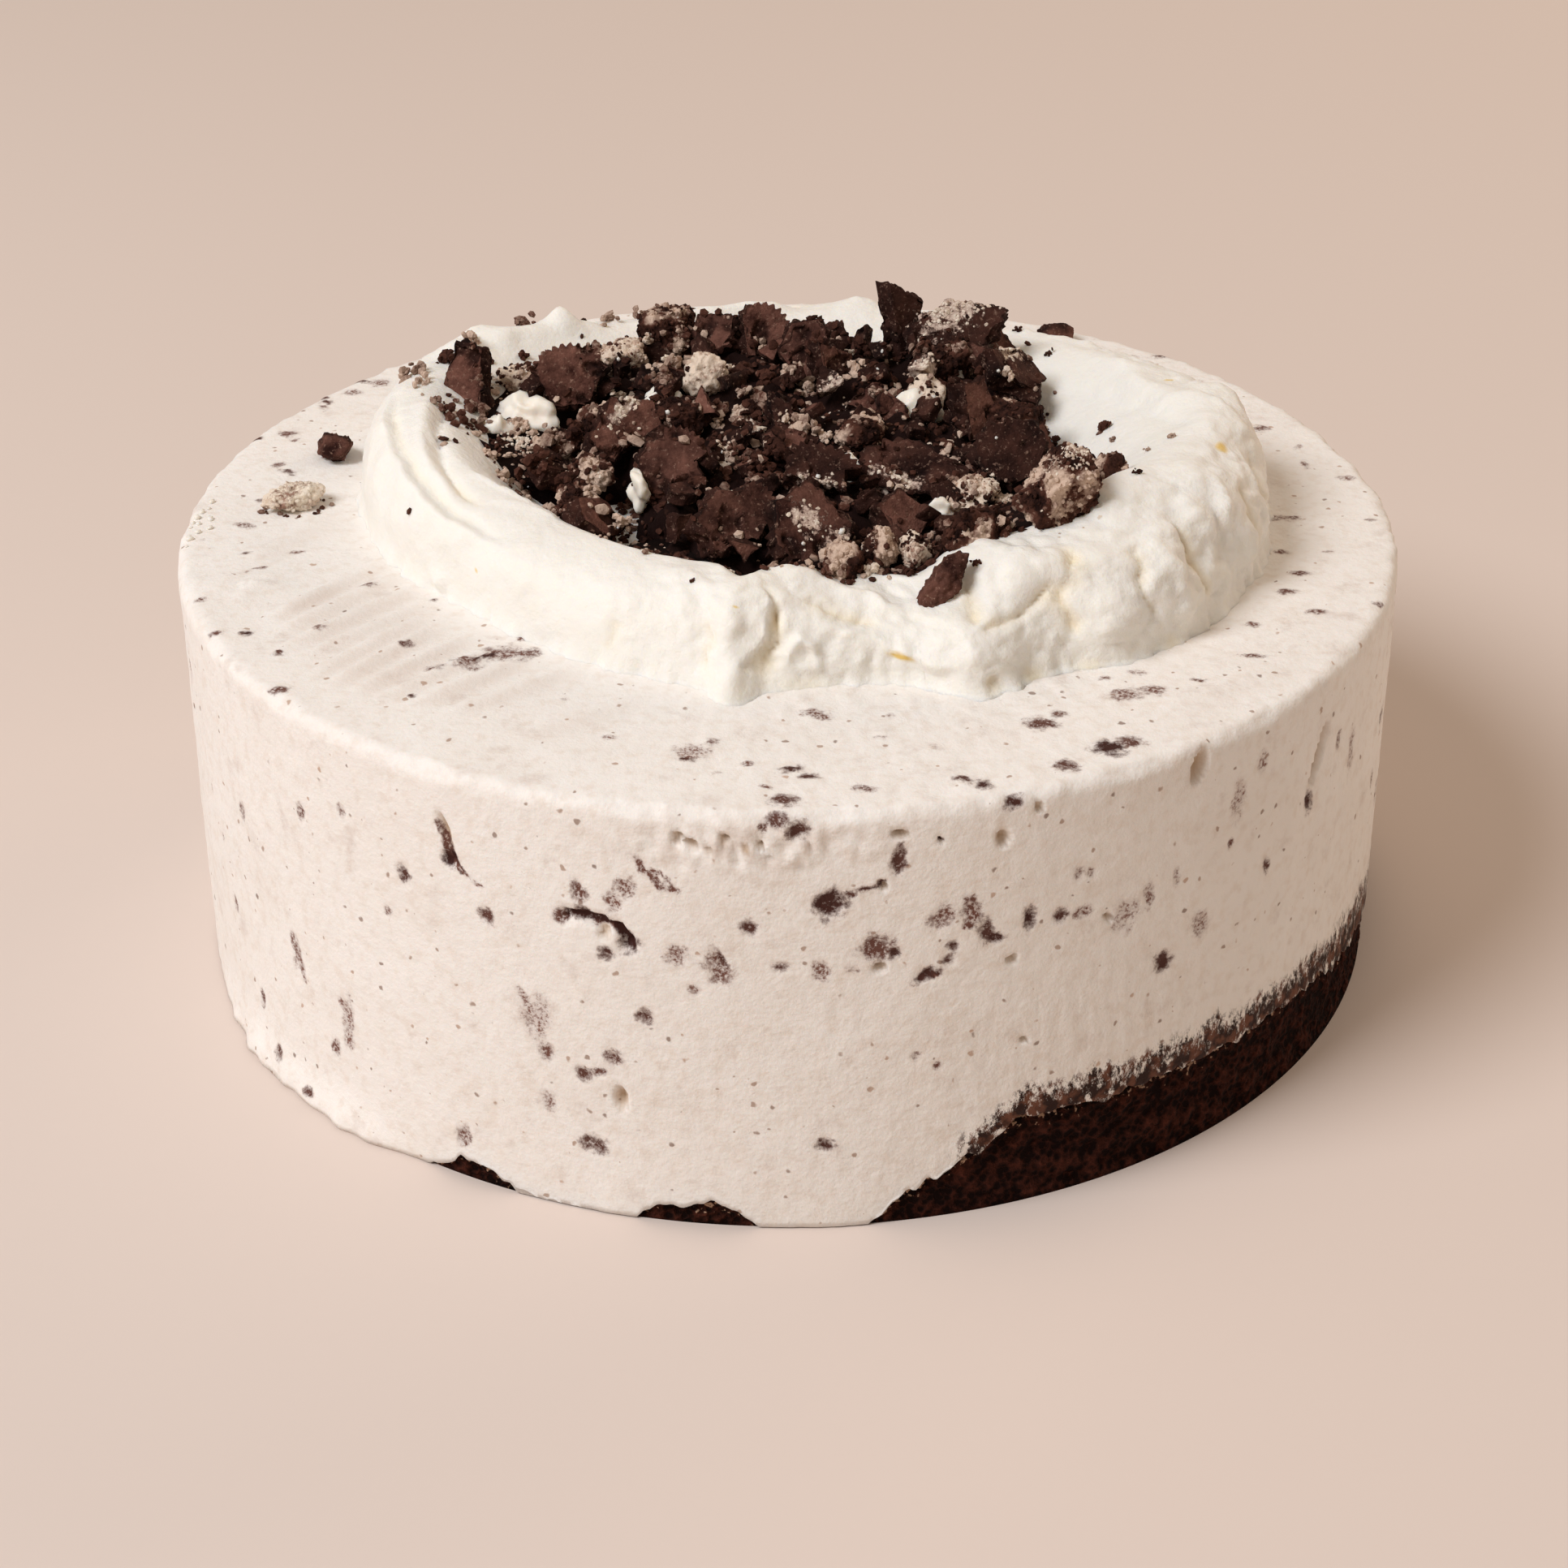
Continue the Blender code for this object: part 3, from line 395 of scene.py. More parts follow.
HOLLOW_DEPTH, BIT_DEPTH = 2.0, 0.5  # mm
HIDDEN_SIDE_BITS, HIDDEN_TOP_BITS = 90, 46
# Marks of the palette knife on the top: x and y of both ends, width and height
KNIFE_RIDGES = (
    (-95, -44, -70, -12, 2.2, 0.5), (-93, -50, -66, -17, 2.2, 0.6), (-91, -55, -61, -22, 2.2, 0.7),
    (-88, -60, -58, -28, 2.0, 0.5), (-85, -66, -62, -38, 2.0, 0.6), (-81, -70, -60, -42, 2.0, 0.7),
    (-77, -73, -53, -46, 2.0, 0.7), (-72, -75, -47, -50, 1.8, 0.5), (-66, -77, -41, -54, 2.0, 0.6),
    (-60, -80, -34, -60, 2.0, 0.45), (-93, -41, -80, -27, 1.8, 0.5), (-48, -88, -24, -72, 2.4, 0.3),
    (-101, -20, -86, 6, 2.6, 0.3), (60, -82, 86, -60, 3.0, 0.25), (86, 30, 104, 8, 3.0, 0.3),
    (-70, 92, -30, 104, 3.0, 0.35), (20, 104, 60, 92, 3.0, 0.35),
)  # fmt: skip


def ice_cream_edge(azimuth):
    """Height at which the ice cream's skirt over the sponge has thinned to nothing."""
    return np.minimum(around(SKIRT_EDGE, azimuth) * MM, SPONGE_THICKNESS)


def skirt_slope(azimuth):
    return (SPONGE_THICKNESS + GAP - ice_cream_edge(azimuth)) / SKIRT_THICKNESS


def body_profile():
    fine_top = np.arange(TOP_ROWS_FROM, CAKE_RADIUS - RIM_ROUND - 0.5 * MM, TOP_ROW)
    rim = [
        (CAKE_RADIUS - RIM_ROUND * (1 - math.sin(a)), CAKE_HEIGHT - RIM_ROUND * (1 - math.cos(a)))
        for a in np.radians(np.linspace(0, 90, RIM_ROWS))
    ]
    side = [(CAKE_RADIUS, z) for z in np.linspace(RIM_FOOT, 0, SIDE_ROWS)[1:]]
    top = [(r, CAKE_HEIGHT) for r in (0, 30 * MM, 55 * MM, 66 * MM, *fine_top)]
    ceiling = SPONGE_THICKNESS + GAP
    inside = [(CAKE_RADIUS - 1 * MM, 0), *((r, ceiling) for r in (CAKE_RADIUS - SKIRT_THICKNESS, 60 * MM, 0))]
    return [*top, *rim, *side, *inside]


def hidden_bits(rng):
    """Cookie bits where the front view doesn't reach, as thick as where it does: on the side from 72 degrees
    round the back to 296, and on the top from 95 to 285."""
    side, top = [], []
    for i in range(HIDDEN_SIDE_BITS):
        azimuth = 72 + 224 * (i + rng.random()) / HIDDEN_SIDE_BITS
        size = rng.uniform(1.6, 5.2)
        height = rng.triangular(14, 78, 58)
        darkness = rng.choice((0.35, 0.5, 0.7, 0.9))
        side.append((azimuth, height, size, size * rng.uniform(0.4, 1.0), rng.uniform(-60, 60), darkness))
    for i in range(HIDDEN_TOP_BITS):
        azimuth = 95 + 190 * (i + rng.random()) / HIDDEN_TOP_BITS
        radius, size = rng.uniform(88, 111), rng.uniform(1.4, 4.4)
        x, y, _ = on_cake(azimuth, radius, 0.0)
        darkness = rng.choice((0.4, 0.55, 0.8))
        top.append((x, y, size, size * rng.uniform(0.4, 1.0), rng.uniform(0, 180), darkness))
    return side, top


def oval(across, along, width, length, tilt):
    """Depth of points within an oval: 1 in its middle, 0 on its edge. A tilt leans its top to the right."""
    along, across = turned(along, across, tilt)
    return 1 - np.hypot(across / (width / 2), along / (length / 2))


class Skin:
    """The ice cream's outside: its points with their places in mm and degrees, and for each point how far it
    faces out and up, and belongs to the side and to the top."""

    def __init__(self, points, azimuth, radius, height, outside):
        self.points, self.azimuth, self.turn, self.radius = points, azimuth, apart(azimuth, 0), radius / MM
        self.x, self.y, self.z = points[:, 0] / MM, points[:, 1] / MM, height / MM
        out = np.clip((radius - CAKE_RADIUS + RIM_ROUND) / RIM_ROUND, 0, 1) * outside
        up = np.clip((height - RIM_FOOT) / RIM_ROUND, 0, 1) * outside
        length = np.maximum(np.hypot(out, up), 1e-6)
        self.out, self.up, self.outside = out / length, up / length, outside
        self.side, self.top = self.out**2 * outside, self.up**2 * outside
        self.ring = on_cake(azimuth, CAKE_RADIUS, 0.0)
        # Rough ice cream under the rim, left of the middle, and long scratches on the right
        self.rough = hill((azimuth + 4, 9), (self.z - 75, 4)) * self.side
        self.streak = span(2, 30, 66, 84, azimuth) * (1 - smooth_step(34, 52, self.z)) * self.side


def body_form(azimuth, radius, height):
    """The turned body with its uneven lower edge, and the skirt that thins over the sponge."""
    on_side = (radius > CAKE_RADIUS - TINY) & (height < RIM_FOOT - TINY)
    outside = on_side | (height > RIM_FOOT - TINY)
    edge = ice_cream_edge(azimuth)
    ragged = uneven(on_cake(azimuth, CAKE_RADIUS, 0.0), (1.5, 2.2), (1.5, 6)) * MM
    foot = np.maximum(edge + ragged, ICE_CREAM_FOOT)
    height = np.where(on_side, foot + (RIM_FOOT - foot) * height / RIM_FOOT, height)
    inner_foot = ~outside & (height < MM)
    thick = np.maximum((foot - edge) / skirt_slope(azimuth), 0.15 * MM)
    radius = np.where(inner_foot, CAKE_RADIUS - thick, radius)
    height = np.where(inner_foot, foot, height)
    return Skin(on_cake(azimuth, radius, height), azimuth, radius, height, outside)


def body_relief(skin):
    """How far the frozen surface swells, in mm: waves, the soft rim, and rough and frosty places."""
    points, ring, azimuth, side, top = skin.points, skin.ring, skin.azimuth, skin.side, skin.top
    swell = uneven(points, (0.35, 30), (0.14, 9), (0.1, 3)) + side * uneven(points, (0.08, 1.8, 2))
    swell *= skin.outside
    chips = np.abs(uneven(points, (1, 11, 5)))
    swell += 4 * side * top * (0.3 - 1.3 * chips + uneven(points, (0.5, 3, 9)))
    lip = hill((skin.radius - (CAKE_RADIUS - RIM_ROUND) / MM + 0.3, 1.1)) * top
    swell += lip * (span(-80, -60, -24, -6, azimuth) * uneven(ring, (0.4, 9, 2)) + uneven(ring, (0.25, 5)))
    swell += skin.rough * uneven(points, (1.3, 2.6, 3), (0.9, 1.5, 3.5))
    scratch = points * np.array((1.0, 1.0, 0.14))
    swell += skin.streak * uneven(scratch, (0.16, 1.7))
    frosty = span(-26, -8, 50, 80, azimuth) * top
    swell += frosty * uneven(points, (0.2, 2.4, 5), (0.2, 4.5, 6))
    crust = hill((skin.x + 99, 6), (skin.y + 30, 5)) * top
    swell += crust * (1.0 + uneven(points, (1.4, 3.2, 4), (0.8, 1.8, 4.5)))
    # The left foot spreads over the base
    spread = span(-75, -58, -44, -33, azimuth) * hill((skin.z, 5))
    return swell + side * spread * (2.0 + uneven(points, (1.2, 5, 1)))


def knife_marks(skin):
    """Ridges that the palette knife left on the top, in mm, and painted shade, a warmer tone, in the valleys
    beside them.
    """
    swell, tan = np.zeros(len(skin.x)), np.zeros(len(skin.x))
    sweep = skin.top * span(70, 80, 106, 112, skin.radius)
    for x0, y0, x1, y1, width, ridge in KNIFE_RIDGES:
        distance, signed, share = near_path(skin.x, skin.y, ((x0, y0), (x1, y1)))
        strength = sweep * span(0.0, 0.25, 0.6, 1.0, share) * ridge
        steep = np.where(signed > 0, width * 0.35, width)
        swell += strength * hill((signed, steep)) * (distance < 3 * width)
        # Painted shade: a warmer tone in the valley beside the ridge
        tan += strength * hill((signed + 1.3 * width, width)) * (distance < 4 * width)
    return swell, tan


class Marks:
    """Cookie bits: how far each point lies in one, how dark it is, and how far it swells, in mm."""

    def __init__(self, skin):
        self.cookie = np.full(len(skin.x), -1.0)
        self.darkness, self.swell = np.zeros(len(skin.x)), np.zeros(len(skin.x))

    def add(self, near, inside, dark, height, soft=-0.1, least=-1.0):
        stronger = inside > np.maximum(self.cookie[near], least)
        self.cookie[near] = np.maximum(self.cookie[near], inside)
        self.darkness[near] = np.where(stronger, dark, self.darkness[near])
        self.swell[near] += height * dark * smooth_step(soft, 0.5, inside)


def cookie_marks(skin):
    marks = Marks(skin)
    more_side, more_top = hidden_bits(random.Random(21))
    for azimuth, z, long, wide, tilt, dark in (*SIDE_BITS, *more_side):
        gone = apart(skin.turn, azimuth)
        near = skin.side * (np.abs(gone) < 8) > 0.2
        inside = oval(gone[near] * ARC, skin.z[near] - z, wide, long, tilt)
        marks.add(near, inside, dark, -BIT_DEPTH * (2.4 if dark == 1 else 1.0))
    everywhere = np.full(len(skin.x), True)
    warp = uneven(skin.points, (0.8, 2.5, 15))
    for line, wide, dark in CRACKS:
        distance = near_path(skin.turn * ARC + warp, skin.z + warp, [(a * ARC, h) for a, h in line])[0]
        inside = (1 - distance / (wide / 2)) * skin.side
        inside = np.where(distance < 6, inside, -1)
        marks.add(everywhere, inside, dark, -2.4 * BIT_DEPTH * (dark == 1), soft=0, least=0)
    for x, y, long, wide, tilt, dark in (*TOP_BITS, *more_top):
        near = (np.hypot(skin.x - x, skin.y - y) < 8) & (skin.top > 0.4)
        marks.add(near, oval(skin.x[near] - x, skin.y[near] - y, long, wide, tilt), dark, 0.5 * BIT_DEPTH)
    return marks


def bubbles(skin):
    """How far the open bubbles sink, in mm, and where they are, for the shade painted in them."""
    sunk, hollow = np.zeros(len(skin.x)), np.zeros(len(skin.x))
    for azimuth, z, wide, long, tilt in HOLLOWS:
        gone = apart(skin.turn, azimuth)
        inside = oval(gone * ARC, skin.z - z, wide, long, -tilt)
        depth = np.sqrt(np.clip(inside, 0, 1)) * ((np.abs(gone) < 10) & (skin.side > 0.2))
        sunk += HOLLOW_DEPTH * depth * min(1.0, wide / 2.4)
        hollow = np.maximum(hollow, depth)
    return sunk, hollow


def make_ice_cream(material):
    """The ice cream body: smooth top, soft rim, cookie bits and bubbles, and an uneven lower edge."""
    obj = make_piece("ice_cream_body", spun(body_profile(), BODY_STEPS), material, ["ice_cream"])
    azimuth, radius, height = polar(positions(obj))
    azimuth = closer_at_front(azimuth)
    skin = body_form(azimuth, radius, height)
    ridges, tan = knife_marks(skin)
    marks = cookie_marks(skin)
    sunk, hollow = bubbles(skin)
    swell = (body_relief(skin) + ridges + marks.swell - sunk) * MM
    points = skin.points + on_cake(azimuth, swell * skin.out, swell * skin.up)
    move_to(obj, points)
    # Sponge crumbs were dragged up over the lower edge. The very edge stays pale here and there
    edge = ice_cream_edge(azimuth) / MM
    above = skin.z - edge
    reach = 8.0 + uneven(skin.ring, (3.0, 7, 6), (1.5, 2)) + 4 * smooth_step(56, 70, azimuth)
    covered = 0.35 + 0.65 * smooth_step(0.0, 0.8, above + uneven(points, (2.4, 1.6, 6.5)))
    smear = smooth_step(9, 14, edge) * skin.side * covered * (1 - np.clip(above / reach, 0, 1))
    # Painted shade, the tan coat: a warmer tone in the knife's valleys and in the rough cavities under the rim
    tan = np.clip(tan + 0.8 * skin.rough * (uneven(points, (1, 4, 8)) > 0.1), 0, 1)
    # The open bubbles get painted shade, a brown, in the material
    paint(obj, cookie=marks.cookie, darkness=marks.darkness, hollow=hollow)
    paint(obj, tan=tan, smear=smear, streak=skin.streak)
    return obj


def ice_cream_material():
    """Cookies-and-cream ice cream, churned, frozen in a ring and unmoulded: a soft, frosty, faintly warm
    white with fine ice grain, cookie bits that lie open or under a film, and a scatter of crumb dust."""
    material, tree, shader, place = make_material(
        "cookies and cream ice cream", 0.62, Subsurface_Weight=0.2, Subsurface_Radius=(1.0, 0.75, 0.6),
        Subsurface_Scale=1.0 * MM, IOR=1.36, Specular_IOR_Level=0.35,
    )  # fmt: skip
    cookie, darkness, hollow, tan, smear, streak = (
        add_node(tree, "Attribute", {}, "Fac", attribute_name=name)
        for name in ("cookie", "darkness", "hollow", "tan", "smear", "streak")
    )
    # The ice grain, last, is drawn at 1 mm, coarser than the real crystals, so that it shows
    clouds, fat, stain, ragged, pepper, grain = (
        add_node(
            tree, "TexNoise", {"Vector": place, "Scale": 1 / (size * MM), "Detail": fine, "Roughness": rough}
        )
        for size, fine, rough in (
            (14, 4, 0.5), (2.4, 3, 0.5), (7, 5, 0.65), (2.2, 5, 0.7), (0.6, 2, 0.6), (1.0, 3, 0.6),
        )
    )  # fmt: skip
    fat_spots = add_node(tree, "MapRange", {"Value": fat, "From Min": 0.5, "From Max": 0.7, "To Max": 0.4})
    # Stains, where cookie has bled into the ice cream
    stain = add_node(tree, "MapRange", {"Value": stain, "From Min": 0.58, "From Max": 0.76, "To Max": 0.4})

    # Crumb dust: specks of 0.5 to 1 mm, in some of the cells only
    warp = add_node(tree, "TexNoise", {"Vector": place, "Scale": 1 / (1.5 * MM), "Detail": 1.0}, "Color")
    warp = add_node(tree, "VectorMath", {0: warp, 3: 1.2 * MM}, operation="SCALE")
    moved = add_node(tree, "VectorMath", {0: place, 1: warp}, operation="ADD")
    cells = add_node(tree, "TexVoronoi", {"Vector": moved, "Scale": 1 / (2.8 * MM)})
    chosen = add_node(tree, "SeparateColor", {"Color": cells.node.outputs["Color"]})
    reach = add_node(tree, "MapRange", {"Value": chosen, "From Min": 0.35, "From Max": 1.0, "To Max": 0.24})
    speck = add_node(tree, "Math", {0: reach, 1: cells}, operation="SUBTRACT")
    speck = add_node(tree, "MapRange", {"Value": speck, "From Max": 0.08, "To Max": 0.75})

    # Cookie bits: a soft ghost under the film of ice cream, and ragged darker cores where they lie open
    torn = add_node(tree, "Math", {0: ragged, 1: 3.0, 2: -1.5}, operation="MULTIPLY_ADD")
    torn = add_node(tree, "Math", {0: cookie, 1: torn}, operation="ADD")
    near = add_node(tree, "MapRange", {"Value": cookie, "From Min": -0.9, "From Max": -0.2})
    film = add_node(tree, "Math", {0: darkness, 1: 0.4, 2: 0.22}, operation="MULTIPLY_ADD")
    salt = shown(tree, pepper, darkness, 0.45, -0.62, -0.03, 0.16)
    marks = []
    for low, high, strength in ((-0.5, 0.6, film), (-0.15, 0.5, salt)):
        mark = add_node(tree, "MapRange", {"Value": torn, "From Min": low, "From Max": high})
        mark = add_node(tree, "Math", {0: mark, 1: strength}, operation="MULTIPLY")
        marks.append(add_node(tree, "Math", {0: mark, 1: near}, operation="MULTIPLY"))
    ghost, dark = marks

    # Sponge crumbs dragged up over the lower edge as the ring was lifted off
    long = add_node(tree, "Mapping", {"Vector": place, "Scale": (1.0, 1.0, 0.55)})
    drag, scratches = (
        add_node(
            tree, "TexNoise", {"Vector": long, "Scale": 1 / (size * MM), "Detail": fine, "Roughness": rough}
        )
        for size, fine, rough in ((1.5, 6, 0.85), (1.3, 1, 0.5))
    )
    dragged = shown(tree, drag, smear, 0.27, -0.56, -0.02, 0.07)
    on_smear = add_node(tree, "MapRange", {"Value": smear, "From Min": 0.0, "From Max": 0.25})
    dragged = add_node(tree, "Math", {0: dragged, 1: on_smear}, operation="MULTIPLY")
    grained = add_node(tree, "MapRange", {"Value": fat, "From Min": 0.4, "From Max": 0.56})

    dust, brown, crumbs = (
        add_node(tree, "Mix", {0: share, 6: colour(one), 7: colour(other)}, 2, data_type="RGBA")
        for share, one, other in (
            (chosen.node.outputs[1], "#70503F", "#BE9A80"), (darkness, "#94685A", "#3B1B15"),
            (grained, "#6A4230", "#2A1209"),
        )
    )  # fmt: skip
    # Painted shade: tan in the knife's valleys and the rough cavities, brown in the open bubbles
    coats = (
        (clouds, "#EDE6DE"), (fat_spots, "#E2D4C6"), (tan, "#E3D7CD"), (hollow, "#B99C7C"), (speck, dust),
        (stain, "#C2ADA1"), (ghost, "#93716A"), (dark, brown), (dragged, crumbs),
    )  # fmt: skip
    relief = add_node(tree, "Math", {0: scratches, 1: streak}, operation="MULTIPLY")
    relief = add_node(tree, "Math", {0: grain, 1: relief}, operation="ADD")
    relief = add_node(tree, "Math", {0: dark, 1: -0.8, 2: relief}, operation="MULTIPLY_ADD")
    finish_material(tree, shader, colour("#F6F2ED"), coats, relief, 0.35, 0.6)
    return material


# The sponge base

SPONGE_STEPS, SPONGE_ROWS = 620, 22
LID = 2.0  # stands for the height on the sponge's lid, until the sponge has its form


def make_sponge(material):
    """The sponge disc: a torn, open crumb at the side, with specks of cream near its top."""
    wall = ((CAKE_RADIUS, share) for share in np.linspace(1, 0, SPONGE_ROWS))
    profile = [(0, LID), (0.6 * CAKE_RADIUS, LID), *wall, (0, 0)]
    obj = make_piece("sponge", spun(profile, SPONGE_STEPS), material, ["sponge_base"])
    azimuth, radius, share = polar(positions(obj))
    azimuth = closer_at_front(azimuth)
    edge = ice_cream_edge(azimuth)
    side = radius > CAKE_RADIUS - TINY
    height = np.where(share > 1.5, SPONGE_THICKNESS, share * (SPONGE_THICKNESS - 0.2 * MM))
    skirt = CAKE_RADIUS - GAP - (height + GAP - edge) / skirt_slope(azimuth)
    reach = np.minimum(skirt, CAKE_RADIUS - SPONGE_INSET)
    points = on_cake(azimuth, reach, height)
    crumb = 0.9 * (0.6 - grains(points, 2.6)) + 0.5 * (0.6 - grains(points, 1.3))
    crumb += uneven(points, (0.5, 4)) + 0.2
    torn = np.clip(crumb, -0.2, 1.5) * MM * smooth_step(0.0, 0.06, share)
    move_to(obj, on_cake(azimuth, np.where(side, reach - torn, radius), height))
    near_top = 1 - np.clip((edge - height) / (6 * MM), 0, 1)
    # Where the crumb stands out; the material paints it lighter, as painted light
    paint(obj, raised=np.clip(0.5 - crumb, 0, 1), near_top=np.where(side, near_top, 0))


def sponge_material():
    """Chocolate sponge, baked and cut: a matt, near black crumb, paler flecks, and cream in its top. Its
    raised crumb is painted lighter and its pores darker: painted light and shade.
    """
    material, tree, shader, place = make_material("chocolate sponge", 0.95, Specular_IOR_Level=0.1)
    near_top, raised = (
        add_node(tree, "Attribute", {}, "Fac", attribute_name=name) for name in ("near_top", "raised")
    )  # fmt: skip
    crumb, fleck = (
        add_node(tree, "TexNoise", {"Vector": place, "Scale": 1 / MM, "Detail": detail}) for detail in (4, 2)
    )  # fmt: skip
    # Painted shade in the pores and painted light on the raised crumb, mixed with the crumb's own tone
    pore_shade = add_node(tree, "TexVoronoi", {"Vector": place, "Scale": 1 / (1.3 * MM)})
    crumb_light_and_shade = add_node(tree, "Math", {0: pore_shade, 1: raised}, operation="ADD")
    tone = add_node(tree, "Math", {0: crumb, 1: 1.2, 2: crumb_light_and_shade}, operation="MULTIPLY_ADD")
    tone = add_node(tree, "MapRange", {"Value": tone, "From Min": 1.0, "From Max": 2.2})
    cream = shown(tree, fleck, near_top, 0.42, -0.92, 0.0, 0.05)
    finish_material(tree, shader, colour("#120503"), ((tone, "#5C2E21"), (cream, "#B9967D")), tone, 1.0, 2.0)
    return material


# The whipped cream ring

CREAM_STEPS, SLOPE_ROWS, WALL_ROWS = 620, 38, 44
WALL_ROUND = 0.85  # exponent of the outer wall's curve
CREAM_ARC = 75 * math.pi / 180  # mm round the ring for each degree
ACROSS = 50  # mm over the ring, from the bed's edge (0) over the crest (0.5) to the foot (1)

# Strokes of the spoon: kind, width and height in mm, then the path as (azimuth, share across the ring).
# A step is high on the left of its path
STROKES = (
    ("step", 1.0, 1.6, ((-104, 0.60), (-90, 0.64), (-78, 0.66), (-66, 0.71), (-56, 0.71), (-50, 0.68))),
    ("ridge", 1.3, 0.9, ((-104, 0.45), (-92, 0.50), (-77, 0.58), (-66, 0.63))),
    ("crease", 1.0, 1.4, ((-106, 0.38), (-94, 0.42), (-80, 0.52), (-68, 0.58), (-60, 0.60))),
    ("ridge", 1.0, 0.7, ((-76, 0.49), (-66, 0.46), (-58, 0.41), (-50, 0.40))),
    ("crease", 0.8, 0.7, ((-72, 0.43), (-62, 0.40), (-52, 0.35))),
    ("ridge", 1.0, 0.5, ((-64, 0.54), (-56, 0.49), (-50, 0.46))),
    ("ridge", 6.0, 1.0, ((-96, 0.86), (-80, 0.84), (-60, 0.80), (-34, 0.72))),
    ("crease", 0.8, 0.6, ((-25.5, 0.82), (-25.8, 0.9), (-26.3, 0.97))),
    ("ridge", 2.4, 0.7, ((-24, 0.50), (-18, 0.62), (-14, 0.80))),
    ("ridge", 2.2, 0.8, ((-20, 0.52), (-13, 0.62), (-8.6, 0.74), (-9.6, 0.84))),
    ("crease", 0.8, 0.9, ((-12, 0.76), (-11, 0.86), (-12, 0.97))),
    ("step", 0.7, 1.4, ((-5.4, 0.54), (-2.4, 0.68), (-3.4, 0.82), (-5.4, 0.92), (-6.8, 1.0))),
    ("crease", 0.7, 1.4, ((-2.0, 0.68), (-1.6, 0.82), (-3.6, 0.93))),
    ("ridge", 1.8, 1.1, ((-4, 0.50), (4.2, 0.52), (12.0, 0.64), (19, 0.69))),
    ("crease", 1.4, 0.9, ((1, 0.62), (7, 0.70), (14, 0.78))),
    ("ridge", 1.6, 0.8, ((3.5, 0.76), (10.3, 0.82), (15.6, 0.87), (21, 0.88))),
    ("ridge", 0.8, 1.2, ((0.2, 0.93), (0.4, 0.87), (1.9, 0.83), (3.8, 0.86), (3.5, 0.96))),
    ("crease", 1.2, 1.3, ((26.5, 0.54), (27, 0.62), (24.7, 0.74))),
    ("crease", 1.2, 1.9, ((42.6, 0.58), (39.6, 0.68), (37.2, 0.80), (37.8, 0.93))),
    ("crease", 1.5, 1.4, ((38.0, 0.68), (35.1, 0.77), (30.9, 0.80), (24.7, 0.75))),
    ("crease", 1.0, 1.5, ((48.8, 0.64), (47.5, 0.75), (45.8, 0.82), (48.1, 0.93))),
    ("ridge", 1.6, 1.3, ((51.0, 0.64), (51.6, 0.78), (52.5, 0.90), (51.9, 1.0))),
    ("crease", 1.0, 1.6, ((57.5, 0.64), (56.6, 0.80), (57.6, 0.96))),
    ("ridge", 1.5, 1.3, ((61.0, 0.60), (61.2, 0.76), (59.4, 0.87), (64.0, 0.97))),
    ("ridge", 1.3, 1.2, ((67.5, 0.64), (64.6, 0.79), (68.3, 0.87), (67.1, 0.96))),
    ("crease", 1.0, 1.4, ((71.5, 0.70), (69.9, 0.84), (71.5, 0.96))),
    ("ridge", 1.6, 1.0, ((77, 0.66), (74.4, 0.80), (75, 0.95))),
    ("crease", 1.1, 1.2, ((84, 0.72), (79, 0.84), (80, 0.96))),
    ("crease", 1.4, 1.3, ((98, 0.66), (92, 0.78), (90, 0.92))),
    ("ridge", 2.4, 1.5, ((124, 0.53), (115.5, 0.51), (104.7, 0.41), (94.8, 0.43), (89.8, 0.56), (89.8, 0.68))),
    ("crease", 2.2, 1.2, ((126, 0.39), (119.6, 0.36), (108.7, 0.31), (100, 0.33), (86, 0.41), (78, 0.46))),
    ("ridge", 3.0, 1.2, ((146, 0.62), (134, 0.60), (122, 0.66), (110, 0.60))),
    ("crease", 1.4, 1.3, ((112, 0.68), (104, 0.8), (103, 0.94))),
    ("ridge", 2.2, 1.8, ((178, 0.52), (190, 0.50), (204, 0.46))),
    ("crease", 1.4, 1.4, ((172, 0.60), (188, 0.62), (206, 0.58))),
    ("ridge", 2.4, 1.4, ((212, 0.54), (224, 0.48), (236, 0.44))),
    ("crease", 1.4, 1.5, ((150, 0.70), (160, 0.82), (158, 0.95))),
    ("step", 1.4, 1.8, ((196, 0.64), (204, 0.8), (202, 0.96))),
)  # fmt: skip
# Lumps, dents and peaks: azimuth, share across, length round, width across and height
DABS = (
    (-120, 0.50, 8, 6, 2.2), (-140, 0.50, 5, 5, 2.6), (-128, 0.56, 6, 5, 1.4), (-41.6, 0.89, 5.5, 4.6, -0.55),
    (-41.6, 0.89, 3.4, 2.8, 0.45), (-62, 0.97, 5, 4, 1.4), (-3.2, 0.93, 3.6, 3.4, -1.0),
    (3.2, 1.0, 8, 2.6, -1.6), (33.5, 0.64, 12, 12, 2.2), (43.4, 0.86, 11, 9, 1.7), (28, 0.87, 10, 8, 1.0),
    (54.5, 0.70, 7, 8, 1.0), (39, 1.0, 4, 2, -1.2), (31.8, 1.0, 4, 2, -1.4), (49.8, 1.0, 3, 2, -1.2),
    (25.5, 0.98, 3, 2, -1.2), (62, 0.5, 16, 10, 1.0), (86, 0.62, 8, 7, 1.2), (8, 0.94, 6, 4, 0.6),
    (14, 0.6, 7, 8, 0.7), (96, 0.7, 9, 7, 1.6), (168, 0.6, 10, 8, 1.8), (154, 0.72, 8, 6, 1.2),
    (-160, 0.7, 9, 7, 1.4), (20, 0.9, 5, 5, 0.9),
)  # fmt: skip
